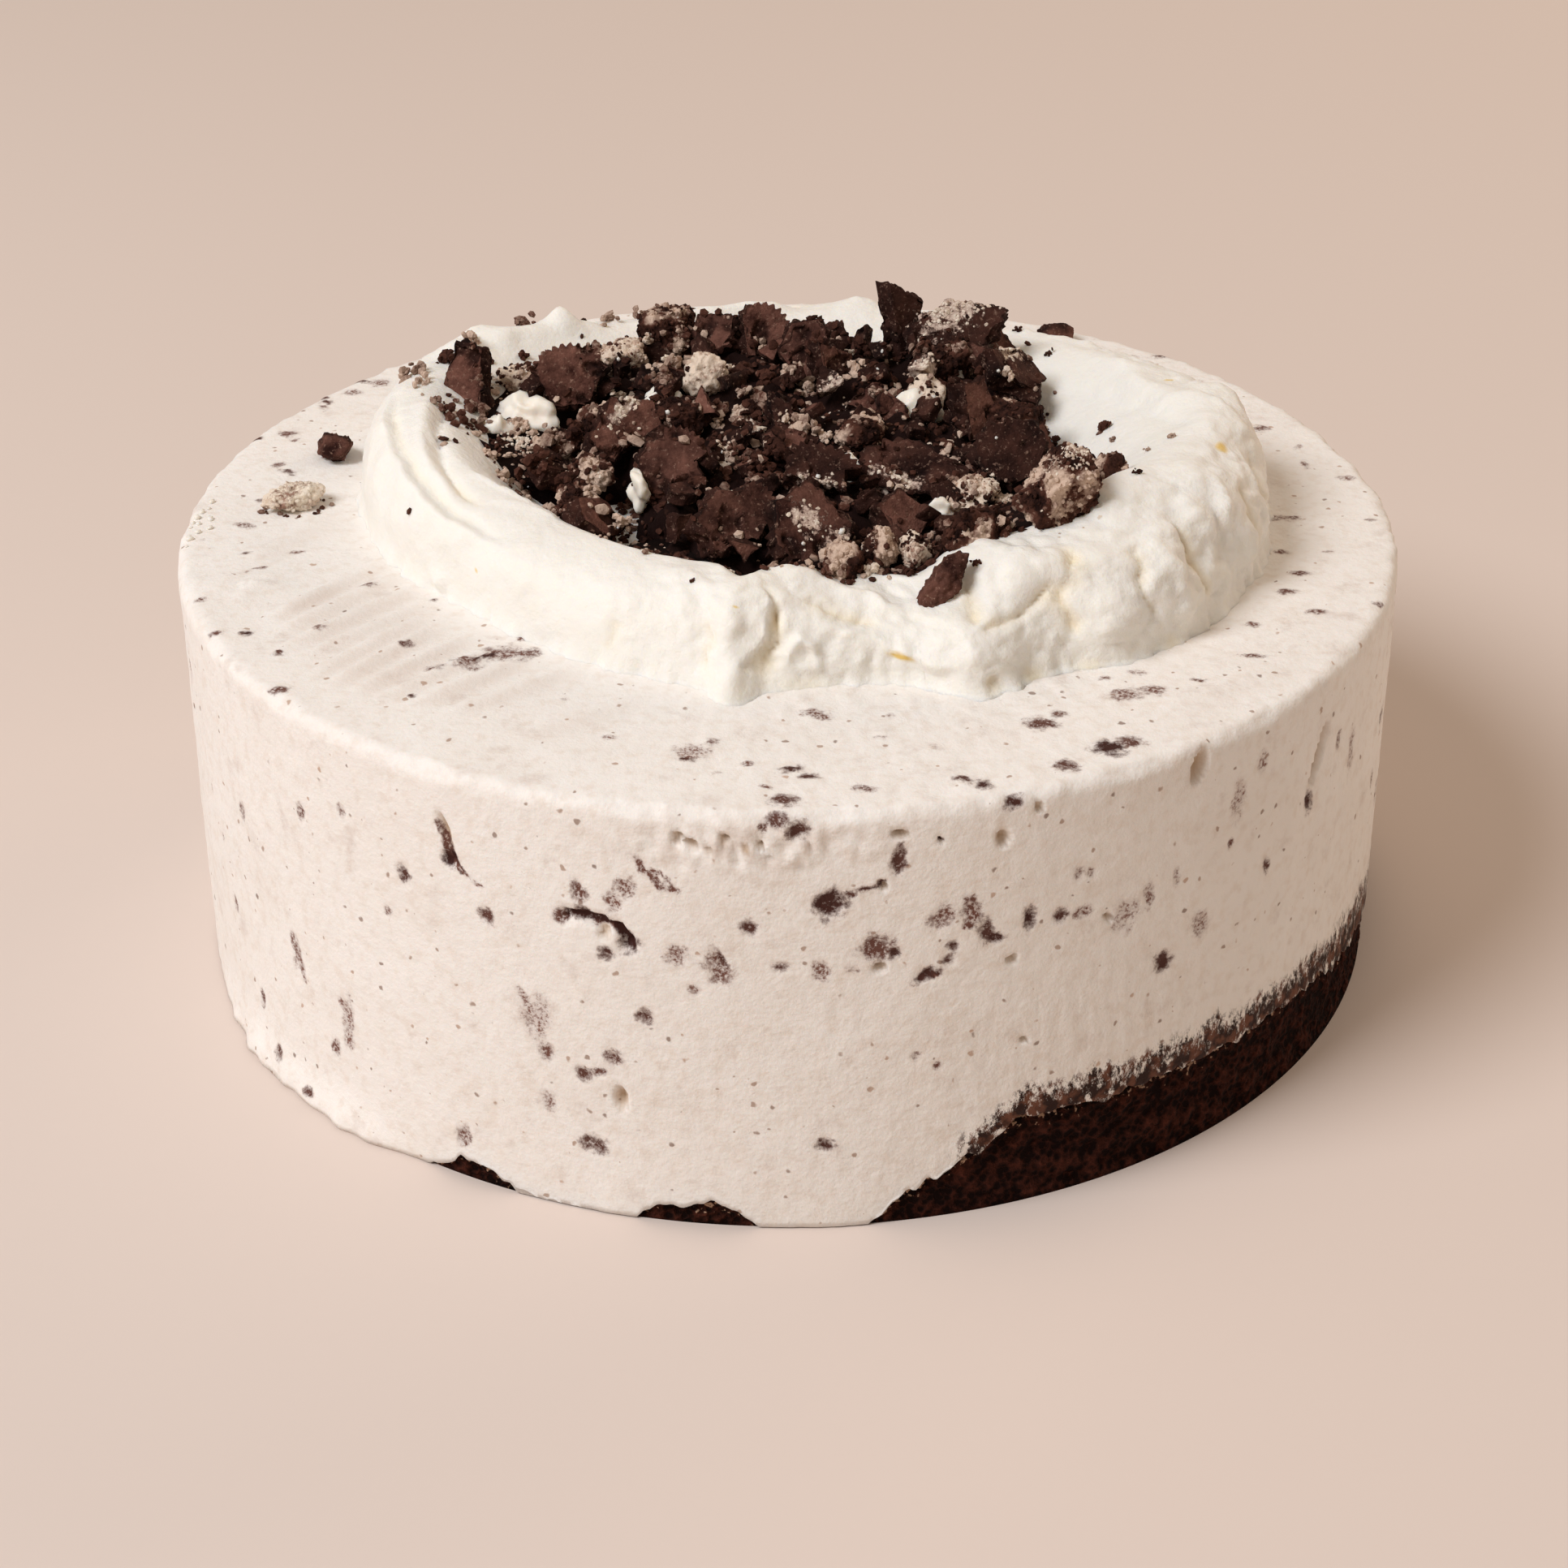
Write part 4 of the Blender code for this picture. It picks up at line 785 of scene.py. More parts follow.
# Specks of butterfat: azimuth, share across, length round and width across
FAT_SPECKS = (
    (15.5, 0.9, 5.0, 2.0), (78.2, 0.59, 4.4, 3.6), (-7.7, 0.67, 1.0, 0.9), (-54, 0.86, 0.8, 0.7),
    (140, 0.74, 2.0, 1.4), (-150, 0.62, 1.8, 1.4), (104, 0.5, 1.0, 0.9),
)  # fmt: skip


def crest_of(azimuth):
    """Radius and height above the ice cream of the whipped cream's crest."""
    radius = around(CREAM_OUTLINE, azimuth) - around(CREST_INSET, azimuth)
    # It dips a little where the big pieces lie on it
    dip = 3.2 * hill((azimuth - 45, 11))
    return radius * MM, (around(CREAM_CREST, azimuth) - dip) * MM


def cream_inside(azimuth, radius):
    """Height of the bed and of the slope that rises from it to the crest."""
    crest_radius, crest_height = crest_of(azimuth)
    rise = smooth_step(BED_RADIUS, crest_radius, radius)
    return BED_THICKNESS + (crest_height - BED_THICKNESS) * rise


def cream_profile():
    """The cream's turned form: radius as a share of the whole, height as a share of the crest's."""
    inside = [(share, 1.0) for share in (0, 0.25, 0.42, 0.5, *np.linspace(0.54, CREST, SLOPE_ROWS))]
    turns = np.radians(np.linspace(2, 87.5, WALL_ROWS))
    wall = [(CREST + (1 - CREST) * math.sin(a) ** 0.8, math.cos(a) ** WALL_ROUND) for a in turns]
    return [*inside, *wall, (1.003, 0.03), (1.01, 0.0), (0, 0.0)]


def cream_form(azimuth, share, level):
    """The model's ring with its lumps: its points, and its outline's radius."""
    # The fold at the front stands out at its foot only
    fold = 5.0 * hill((azimuth + 8, 4.5)) * smooth_step(0.05, 0.5, level)
    outline = (around(CREAM_OUTLINE, azimuth) - fold) * MM
    crest_radius, crest_height = crest_of(azimuth)
    bed = BED_RADIUS * share / BED_EDGE
    slope = BED_RADIUS + (crest_radius - BED_RADIUS) * (share - BED_EDGE) / (CREST - BED_EDGE)
    wall = crest_radius + (outline - crest_radius) * (share - CREST) / (1 - CREST)
    radius = np.select([share <= BED_EDGE, share <= CREST], [bed, slope], wall)
    full = np.where(share > CREST + 1e-6, crest_height, cream_inside(azimuth, radius))
    points = on_cake(azimuth, radius, CAKE_HEIGHT + GAP + full * level)
    lump = around(CREAM_CALM, azimuth) * uneven(points, (CREAM_LUMP, LUMP_LENGTH)) * MM
    lump *= (level > 0.02) & (share > 0.4)
    out, up = smooth_step(0.4, 0.8, share), smooth_step(0.1, 0.6, level)
    return points + on_cake(azimuth, lump * out, lump * up), outline


def stroke_form(kind, width, distance, signed):
    if kind == "ridge":
        return hill((distance, width))
    if kind == "crease":
        return -np.exp(-distance / width) * (distance < 6 * width)
    step = np.where(signed > 0, hill((signed, 5 * width)), 0) * smooth_step(0, width, signed)
    return step - 0.4 * hill((signed + width, 1.2 * width))


def spoon_marks(azimuth, v, wander, strength):
    """How far the spoon's strokes, the lumps and the dents stand out, in mm. v is in mm across the ring."""
    raised = np.zeros(len(v))
    for kind, width, height, path in STROKES:
        middle = path[len(path) // 2][0]
        line = [((a - middle) * CREAM_ARC, share * ACROSS) for a, share in path]
        distance, signed, along = near_path(apart(azimuth, middle) * CREAM_ARC + wander, v, line)
        form = stroke_form(kind, width, distance, signed) * span(0, 0.22, 0.8, 1.0, along)
        raised += height * form * strength
    for middle, across, long, wide, height in DABS:
        u = apart(azimuth, middle) * CREAM_ARC
        raised += height * hill((u, long / 2), (v - across * ACROSS, wide / 2))
    return raised


def billows(points, azimuth, across):
    """Round lumps of cream with sharp valleys between them, and ever finer ones, in mm."""
    calm = around(CREAM_CALM, azimuth)
    billow = np.abs(uneven(points, (1, 12, 7))) - 0.25
    finer = np.abs(uneven(points, (1, 3.6, 2))) - 0.25
    fluff = uneven(points, (0.24, 1.5, 4), (0.3, 3.0, 6))
    folded = calm * (0.15 + 0.85 * smooth_step(0.42, 0.56, across))
    crinkled = 0.3 + 0.7 * folded + 0.5 * hill((azimuth, 25)) * smooth_step(0.5, 0.6, across)
    swell = folded * (2.2 * billow + 0.5 * finer) + crinkled * (0.8 * fluff + 0.4 * finer)
    return swell + smooth_step(0.7, 0.95, across) * calm * uneven(points, (0.35, 1.3, 14))


def make_cream(material):
    """The whipped cream: the model's ring with its lumps, then the spoon's folds, creases and peaks."""
    turned_form = spun(cream_profile(), CREAM_STEPS)
    obj = make_piece("cream_ring", turned_form, material, ["whipped_cream"])
    azimuth, share, level = polar(positions(obj))
    points, outline = cream_form(azimuth, share, level)
    move_to(obj, points)
    facing = np.empty(points.size)
    obj.data.vertex_normals.foreach_get("vector", facing)

    fall = np.arccos(np.clip(level, 0, 1) ** (1 / WALL_ROUND)) / (math.pi / 2)
    across = np.where(share <= CREST + 1e-6, 0.5 * (share - BED_EDGE) / (CREST - BED_EDGE), 0.5 + 0.5 * fall)
    # A spoon never draws a clean curve: the strokes wander a little
    wander = uneven(points, (1.1, 6, 11), (0.5, 2.6, 12))
    v = across * ACROSS + 0.8 * wander
    marks = spoon_marks(azimuth, v, wander, 1 + uneven(points, (0.5, 5, 13)))
    raised = marks + billows(points, azimuth, across)
    raised *= smooth_step(0.0, 0.16, level) * smooth_step(0.45, 0.62, share) * MM
    points += facing.reshape(-1, 3) * raised[:, None]
    foot = (1 - smooth_step(0.0, 0.2, level)) * (share > 0.98)
    frill = uneven(on_cake(azimuth, outline, 0.0), (1.3, 5, 1), (0.9, 1.8, 3)) + 0.6
    points += on_cake(azimuth, frill * MM * foot, 0.0)
    points[:, 2] = np.maximum(points[:, 2] - 0.8 * MM * foot, CAKE_HEIGHT - 0.5 * MM)
    move_to(obj, points)

    fat = np.zeros(len(v))
    for middle, speck_across, long, wide in FAT_SPECKS:
        inside = oval(apart(azimuth, middle) * CREAM_ARC, v - speck_across * ACROSS, long, wide, 0)
        fat = np.maximum(fat, np.clip(2 * inside, 0, 1))
    # Painted shade: a warmer tone in the spoon's creases, where the strokes sink
    paint(obj, fat=fat, valley=np.clip(-marks / 2, 0, 1) * smooth_step(0.5, 0.62, across))
    return obj


def cream_material():
    """Dairy cream, whipped and spread with a spoon: thick, ivory white, satin, with a warm shade painted in
    its creases, a fine foam grain and a few specks of butterfat."""
    material, tree, shader, place = make_material(
        "whipped cream", 0.5, Subsurface_Weight=0.45, Subsurface_Radius=(1.0, 0.85, 0.65),
        Subsurface_Scale=1.4 * MM, IOR=1.4, Specular_IOR_Level=0.3,
    )  # fmt: skip
    fat, valley = (add_node(tree, "Attribute", {}, "Fac", attribute_name=name) for name in ("fat", "valley"))
    # Foam bubbles are drawn at 1.2 mm, coarser than real ones, so that they show
    clouds, foam = (
        add_node(
            tree, "TexNoise", {"Vector": place, "Scale": 1 / (size * MM), "Detail": fine, "Roughness": rough}
        )
        for size, fine, rough in ((12, 2, 0.5), (1.2, 4, 0.6))
    )
    # The creases get a painted warm shade
    coats = ((clouds, "#F1EDE3"), (valley, "#F0DFBC"), (fat, "#E9C978"))
    finish_material(tree, shader, colour("#F5F2EC"), coats, foam, 0.5, 0.6)
    return material


# The cookie heap

HEAP_STEPS, HEAP_ROWS = 300, 62
# Broken wafers: x, y and height above the ice cream, then length and width, turn, lean and roll, the number
# of corners, and from where to where the outline is the wafer's own fluted rim, in degrees (none if the same)
WAFERS = (
    (-62, 22, 19, 11, 14, -22, 70, 4, 4, 0, 0), (-42, 22, 19, 15, 13, 10, 62, -12, 5, 15, 150),
    (-14, 44, 20, 10, 10, -35, 52, 10, 5, 0, 0), (-5, 41, 21, 11, 11, 12, 66, 0, 5, -20, 110),
    (4, 34, 20, 11, 12, -14, 62, 14, 6, 0, 0), (8, 25, 19, 9, 14, 30, 66, 8, 4, 0, 0),
    (22, 40, 23, 13, 15, 35, 74, 0, 3, 0, 0), (33, 38, 22, 20, 13, 8, 44, -10, 5, 0, 0),
    (43, 24, 19, 16, 9, 45, 44, 25, 5, 0, 0), (-31, 3, 16, 18, 11, 52, 42, -22, 5, 0, 0),
    (0, 5, 16, 15, 16, 4, 48, 6, 3, 0, 0), (-21, -17, 16, 13, 17, -14, 50, 6, 5, 30, 120),
    (-10, -38, 16, 18, 12, 46, 44, -12, 5, -40, 45), (6, -21, 18, 15, 9, -8, 38, 14, 4, 20, 160),
    (3, -43, 17, 17, 15, 10, 44, 12, 5, 0, 0), (23, -17, 16, 21, 12, -12, 30, 10, 6, 0, 0),
    (20, -34, 15, 10, 9, 30, 50, 0, 5, 0, 0), (33, -38, 13, 15, 8, -5, 26, 10, 5, 200, 300),
    (35, 6, 18, 10, 15, 40, 64, 10, 5, 0, 0), (41, -14, 18, 14, 12, 16, 48, -8, 7, 0, 0),
    (-35, -31, 13, 10, 9, 20, 30, 30, 5, 0, 0), (-25, 26, 16, 12, 9, 110, 34, 20, 5, 0, 0),
    (18, 14, 15, 12, 9, -30, 36, 14, 4, 0, 0), (-44, -6, 12, 9, 7, 40, 24, 20, 5, 0, 0),
)  # fmt: skip
SMALL_WAFERS = 95
GOLDEN_ANGLE = 180 * (3 - math.sqrt(5))
# Lumps: x, y and height above the ice cream, then the three sizes and the kind. The largest are the model's
LUMPS = (
    (-52, 31, 15, 9, 8, 7, "filling"), (-33, 36, 17, 15, 9, 8, "filling"), (-16, 25, 19, 10, 9, 8, "paste"),
    (-23, 45, 20, 13, 11, 11, "crumb"), (27, 17, 17, 9, 7, 7, "paste"), (48, -40, 21.5, 17, 15, 16, "crumb"),
    (33, -25, 15, 10, 9, 7, "filling"), (9, -50, 14, 10, 8, 7, "crumb"), (58, -18, 13, 6, 5, 6, "crumb"),
    (-53, 13, 12, 8, 6, 5, "crumb"), (-7, 12, 14, 9, 8, 6, "filling"), (-13, -5, 14, 8, 7, 6, "filling"),
    (33, 31, 18, 17, 6, 9, "dark"), (-8, -32, 14, 12, 8, 7, "dark"), (-38, -24, 13, 12, 9, 8, "dark"),
    (14, 2, 16, 12, 9, 7, "dark"), (-20, 8, 16, 11, 9, 8, "dark"), (42, 8, 16, 12, 10, 8, "dark"),
    (32, -46, 17, 15, 8, 8, "dark"), (58, -27, 19, 9, 7, 8, "crumb"), (-43, 4, 13, 9, 8, 6, "crumb"),
    (-37, 13, 14, 7, 6, 6, "dark"), (-36, -9, 13, 9, 7, 6, "crumb"), (16.5, -46, 14, 7, 6, 8, "crumb"),
    (22, -46, 14, 7, 5.5, 7, "filling"),
)  # fmt: skip
LUMP_TONES = {"filling": 0.75, "paste": 0.75, "crumb": 0.5, "dark": 0.1}  # how pale their crumbs are
PRESSED_PER_MM2, PASTE_PRESSED, MOST_PRESSED = 1.6, 40, 1300  # crumbs pressed into a lump
FILLING_CRUMB_PRESSED = 90
# A stick of wafer that fell on the cream at the front: place and size as for the lumps, then lean, roll and
# turn
FRONT_WAFER, FRONT_WAFER_TURNS = (26.5, -60, 14.4, 11.5, 6.2, 5.6), (64, -44, 18)
FLUTE = 1.5  # mm from one flute of a wafer's rim to the next
# Loose pieces on the ice cream: x, y, length, width, height and turn
LEFT_WAFER = (-89, 28, 9, 7, 5, 25)
BACK_WAFER = (58, 89, 8, 5, 4, -15)
FILLING_CRUMB = (-94, 5, 12, 8, 4, -10)


def heap_height(azimuth, share):
    """Height of the heap's core above the base, at a share of the way from its middle to its edge."""
    radius = share * around(HEAP_OUTLINE, azimuth) * MM
    y = on_cake(azimuth, radius, 0.0)[..., 1]
    dome = HEAP_EDGE + HEAP_RISE * (1 - share**3) + HEAP_BACK * smooth_step(-10 * MM, 40 * MM, y)
    on_slope = cream_inside(azimuth, radius) + HEAP_COVER * (1 - share**8)
    return CAKE_HEIGHT + np.maximum(dome, on_slope)


def make_heap_core(material):
    """What lies between the big pieces: crushed cookie, pressed into the cream, painted darker than the crumbs
    as shade in the gaps.
    """
    profile = [*((share, 1.0) for share in np.linspace(0, 1, HEAP_ROWS)), (1.0, 0.0), (0, 0.0)]
    obj = make_piece("heap_core", spun(profile, HEAP_STEPS), material, ["cookie_heap"])
    azimuth, share, level = polar(positions(obj))
    radius = share * around(HEAP_OUTLINE, azimuth) * MM
    top = heap_height(azimuth, share) - 2.5 * MM
    points = on_cake(azimuth, radius, top)
    crumbs = 2.4 * grains(points, 4.2) + 1.2 * grains(points, 1.9) + uneven(points, (3.0, 9)) - 1.5
    ragged = (1 + uneven(points, (0.05, 6))) * (1 - 0.03 * share)
    bed = cream_inside(azimuth, radius) + CAKE_HEIGHT - 0.5 * MM
    # On the left the crumbs lie thinly, with cream between them
    thin = span(-128, -108, -42, -28, azimuth) * smooth_step(0.45, 0.72, share)
    bare = thin * smooth_step(-0.35, -0.1, uneven(points, (1, 8, 3)))
    top = np.maximum(top + crumbs * MM, bed)
    top = np.where(level > 0.5, top + (bed - 1.5 * MM - top) * bare, bed - 1.5 * MM)
    move_to(obj, on_cake(azimuth, radius * ragged, top))
    # Painted shade: a tone below the darkest crumbs', so the gaps between the pieces read darker
    paint(obj, tone=np.full(len(top), -0.25))
    return obj


def taken_apart(bm):
    """A bmesh's points and faces. The bmesh itself is freed."""
    bm.verts.index_update()
    points = np.array([v.co for v in bm.verts])
    faces = [[v.index for v in face.verts] for face in bm.faces]
    bm.free()
    return points, faces


def unit_ball(detail):
    bm = bmesh.new()
    bmesh.ops.create_icosphere(bm, subdivisions=detail, radius=0.5)
    return taken_apart(bm)


def together(shapes):
    """The points and faces of many shapes as those of one."""
    points, faces, start = [], [], 0
    for shape_points, shape_faces, *_ in shapes:
        points.append(shape_points)
        faces.extend([i + start for i in face] for face in shape_faces)
        start += len(shape_points)
    return np.concatenate(points), faces


def joined(name, shapes, material, painted, stands_for=(), crease=None):
    """One piece out of many (points, faces, number for each point). Its edges sharper than the crease angle,
    in degrees, stay sharp."""
    points, faces = together(shapes)
    mesh = bpy.data.meshes.new(name)
    mesh.from_pydata(points.tolist(), [], faces)
    obj = finish_piece(name, mesh, material, stands_for)
    if crease is not None:
        mesh.set_sharp_from_angle(angle=math.radians(crease))
    paint(obj, **{painted: np.concatenate([numbers for _, _, numbers in shapes])})
    return obj


def turning(angles):
    """The matrix of a turn by three angles in radians."""
    return np.array(Euler(angles).to_matrix())


def any_turn(rng):
    return turning([rng.uniform(0, math.tau) for _ in range(3)])


def polygon_reach(angles, corners):
    """Distance from the middle to a polygon's side, in each direction. Corners are (angle, distance)."""
    corners = sorted(corners)
    (first_angle, first), (last_angle, last) = corners[0], corners[-1]
    closed = [(last_angle - math.tau, last), *corners, (first_angle + math.tau, first)]
    reach = np.ones(len(angles))
    for (t1, r1), (t2, r2) in zip(closed, closed[1:]):
        there = (angles >= t1) & (angles <= t2)
        t = angles[there]
        reach[there] = r1 * r2 * math.sin(t2 - t1) / (r1 * np.sin(t - t1) + r2 * np.sin(t2 - t))
    return reach


def wafer_shard(spec, rng, thickness=WAFER, cell=0.6, crumbling=1.0):
    """A broken wafer, flat with crumbling sides and a fluted rim, as (points, faces, how much darker each
    point is painted).
    """
    x, y, z, length, width, turn, lean, roll, count, rim_from, rim_to = spec
    cell = 0.5 if rim_to > rim_from else cell
    bm = bmesh.new()
    bmesh.ops.create_cube(bm, size=2.0)
    cuts = max(4, round(0.5 * (length + width) / cell))
    bmesh.ops.subdivide_edges(bm, edges=bm.edges[:], cuts=cuts, use_grid_fill=True)
    flat, faces = taken_apart(bm)
    size = np.maximum(np.abs(flat[:, 0]), np.abs(flat[:, 1]))
    angle = np.arctan2(flat[:, 1], flat[:, 0])
    farthest = 1.25 if count > 3 else 1.4
    corners = [
        (-math.pi + math.tau * (i + rng.uniform(0.25, 0.75)) / count, rng.uniform(0.95, farthest))
        for i in range(count)
    ]  # fmt: skip
    rim = ((np.degrees(angle) % 360 - rim_from) % 360 < rim_to - rim_from).astype(float)
    spread = size * np.where(rim > 0, 1.0, polygon_reach(angle, corners))
    beside = smooth_step(0.9, 0.99, size)
    broken = beside * (1 - rim)
    seed = rng.uniform(0, 100)
    outward = np.stack([np.cos(angle), np.sin(angle), np.zeros(len(angle))], axis=-1)
    half = 0.5 * MM * np.array((length, width, thickness))
    points = (outward * spread[:, None] + flat * np.array((0, 0, 1))) * half

    depth = uneven(points, (1.1, 3.0, seed), (0.5, 1.3, seed)) + 2.0 * (grains(points + seed * MM, 2.0) - 0.6)
    depth -= 0.5 * smooth_step(0.8, 1.0, np.abs(flat[:, 2]))
    teeth = 0.45 * np.cos(angle * 0.25 * (length + width) / FLUTE * math.tau)
    pushed = min(crumbling, width / 12) * depth * broken + teeth * rim * beside
    points += outward * (pushed * MM)[:, None]
    # Baked faces are nearly flat, with a few places flaked off
    flaked = smooth_step(0.24, 0.32, uneven(points, (1, 4.5, seed + 5)) + 0.35 * (crumbling - 1))
    flaked *= 0.4 + grains(points, 1.6)
    pitted = 0.22 * (grains(points + seed * MM, 1.7) - 0.6) + uneven(points, (0.12, 1.4, seed + 7))
    points[:, 2] += (1 - beside) * np.sign(flat[:, 2]) * (pitted - 0.9 * crumbling * flaked) * MM
    points[:, 2] += beside * (1 - np.abs(flat[:, 2])) * uneven(points, (0.6, 2.0, seed + 3)) * MM
    # Darker where broken or flaked, and some whole pieces darker: partly the wafer's own tone, partly painted
    # shade on the broken sides
    torn = np.maximum(broken, flaked * (1 - beside))
    torn = np.maximum(torn, rng.choice((0.0, 0.1, 0.4, 0.7, 0.9)))
    turned_by = turning([math.radians(a) for a in (lean, roll, turn)])
    return points @ turned_by.T + above_cake(x, y, z), faces, np.clip(torn, 0, 1)


def broken_ball(directions, rng, breaks):
    """Reach of a ball in each direction after pieces have snapped off it in flat breaks."""
    reach = np.full(len(directions), 1.15)
    for _ in range(breaks):
        out = np.array([rng.gauss(0, 1) for _ in range(3)])
        towards = directions @ (out / np.linalg.norm(out))
        reach = np.minimum(reach, rng.uniform(0.72, 1.0) / np.maximum(towards, 1e-3))
    return reach[:, None]


def crumbly_lump(spec, rng, detail, grain, breaks=12, tone=0.5, turned_by=None):
    """A lump of crushed cookie or filling as (points, faces, tone): angular, of pressed grains."""
    x, y, z, *sizes = spec
    ball, faces = unit_ball(detail)
    seed = rng.uniform(0, 100)
    out = ball * 2
    points = ball * broken_ball(out, rng, breaks) * np.array(sizes) * MM
    points += out * (0.45 * grain * (grains(points + seed * MM, grain) - 0.6) * MM)[:, None]
    fine = 0.7 * (grains(points, 0.55 * grain) - 0.6) + uneven(points, (0.3, 0.9, seed))
    points += out * (fine * MM)[:, None]
    if turned_by is None:
        turned_by = turning((0, 0, rng.uniform(0, math.tau)))
    return points @ turned_by.T + above_cake(x, y, z), faces, np.full(len(points), tone)


def crusted(lump, rng, shapes, crumbs, sizes, pale):
    """Crumbs pressed all over the outside of a lump, as shapes for joined(). Some of them, by the pale share,
    have the filling's tone."""
    points = lump[0]
    middle = points.mean(axis=0)
    made = []
    for _ in range(crumbs):
        spot = points[rng.randrange(len(points))]
        crumb, faces = rng.choice(shapes)
        turned_by = any_turn(rng)
        size = rng.triangular(*sizes) * MM
        patch = noise.noise((spot / (5 * MM)).tolist()) + rng.uniform(-0.2, 0.2)
        tone = min(1.0, max(0.0, pale + 2.0 * patch))
        place = middle + (spot - middle) * rng.uniform(0.92, 1.02)
        made.append((crumb @ turned_by.T * size + place, faces, np.full(len(crumb), tone)))
    return made


def small_wafers(rng):
    """Smaller shards between the big ones, spread evenly over the heap."""
    specs = []
    for i in range(SMALL_WAFERS):
        azimuth, share = apart(i * GOLDEN_ANGLE, 0), 0.98 * math.sqrt((i + 0.5) / SMALL_WAFERS)
        # None on the heap's thin left part
        if -112 < azimuth < -38 and share > 0.66:
            continue
        radius = share * around(HEAP_OUTLINE, azimuth) * MM
        x, y, z = on_cake(azimuth, radius, heap_height(azimuth, share) - CAKE_HEIGHT) / MM
        size = rng.triangular(3, 9, 5)
        level = z + rng.uniform(-1.5, 2.0)
        turns = (rng.uniform(0, 360), rng.uniform(10, 90), rng.uniform(-40, 40))
        specs.append((x, y, level, size * rng.uniform(1.0, 1.5), size, *turns, rng.randint(3, 5), 0, 0))
    return specs


def make_wafers(material):
    """The heap's broken wafers: big ones placed one by one, and smaller ones spread between them."""
    rng = random.Random(5)
    big = [wafer_shard(spec, rng) for spec in WAFERS]
    small = [wafer_shard(spec, rng, rng.uniform(0.4, 0.7) * WAFER, 0.7, 0.8) for spec in small_wafers(rng)]
    made = [
        joined(name, shapes, material, "broken", ["cookie_heap"], crease=38)
        for name, shapes in (("wafer_chunks", big), ("wafer_bits", small))
    ]
    for obj in made:
        paint(obj, smeared=smeared(positions(obj)))
    return made


def make_lumps(name, kinds, material, pressed):
    """Lumps of some kinds. The crumbs pressed into them are added to a list."""
    rng = random.Random(8)
    specs = [spec for spec in LUMPS if spec[6] in kinds]
    lumps = [crumbly_lump(spec[:6], rng, 6 if spec[3] > 16 else 5, grain=2.2) for spec in specs]
    shapes = crumb_shapes(rng)
    for (*_, length, width, height, kind), lump in zip(specs, lumps):
        pale = LUMP_TONES[kind]
        if kind in ("crumb", "dark"):
            lump[2][:] = np.clip(pale - 0.1 + uneven(lump[0], (2.0, 5)), 0, 1)
        area = length * width + width * height + length * height
        count = PASTE_PRESSED if kind == "paste" else round(PRESSED_PER_MM2 * area)
        pressed += crusted(lump, rng, shapes, min(count, MOST_PRESSED), (0.3, 1.7, 0.5), pale)
    return joined(name, lumps, material, "tone", ["cookie_heap"])


def wafer_material():
    """Cocoa wafer, baked and snapped: matt brown-black, redder on its baked faces, crumbling and darker where
    it broke, dusted with its own crumbs. The lighter, redder faces and darker broken sides are partly its own
    tone and partly painted light and shade."""
    material, tree, shader, place = make_material("cocoa wafer", 0.85, Specular_IOR_Level=0.12)
    broken, spread = (
        add_node(tree, "Attribute", {}, "Fac", attribute_name=name) for name in ("broken", "smeared")
    )  # fmt: skip
    clouds, dust, film, crumb = (
        add_node(
            tree, "TexNoise", {"Vector": place, "Scale": 1 / (size * MM), "Detail": fine, "Roughness": rough}
        )
        for size, fine, rough in ((7, 6, 0.7), (0.8, 3, 0.7), (1.6, 5, 0.7), (0.9, 4, 0.6))
    )
    clouds = add_node(tree, "MapRange", {"Value": clouds, "From Min": 0.36, "From Max": 0.66})
    dusty = add_node(tree, "MapRange", {"Value": dust, "From Min": 0.58, "From Max": 0.72, "To Max": 0.6})
    # A broken film of filling, whiter where it is thick
    left = add_node(tree, "Math", {0: spread, 1: 0.42, 2: -0.78}, operation="MULTIPLY_ADD")
    left = add_node(tree, "Math", {0: film, 1: left}, operation="ADD")
    thick = add_node(tree, "MapRange", {"Value": left, "From Min": 0.04, "From Max": 0.2})
    left = add_node(tree, "MapRange", {"Value": left, "From Min": -0.02, "From Max": 0.05, "To Max": 0.92})
    baked, torn, filling = (
        add_node(tree, "Mix", {0: share, 6: colour(one), 7: colour(other)}, 2, data_type="RGBA")
        for share, one, other in (
            (clouds, "#341913", "#83594C"), (clouds, "#150705", "#3F241C"), (thick, "#A98D80", "#E3D2C2"),
        )
    )  # fmt: skip
    relief = add_node(tree, "Math", {0: crumb, 1: left}, operation="ADD")
    # Painted light and shade, with the wafer's own tone: the torn coat darkens the broken sides below the
    # lighter baked faces
    coats = ((broken, torn), (dusty, "#A88876"), (left, filling))
    finish_material(tree, shader, baked, coats, relief, 0.8, 0.5)
    return material


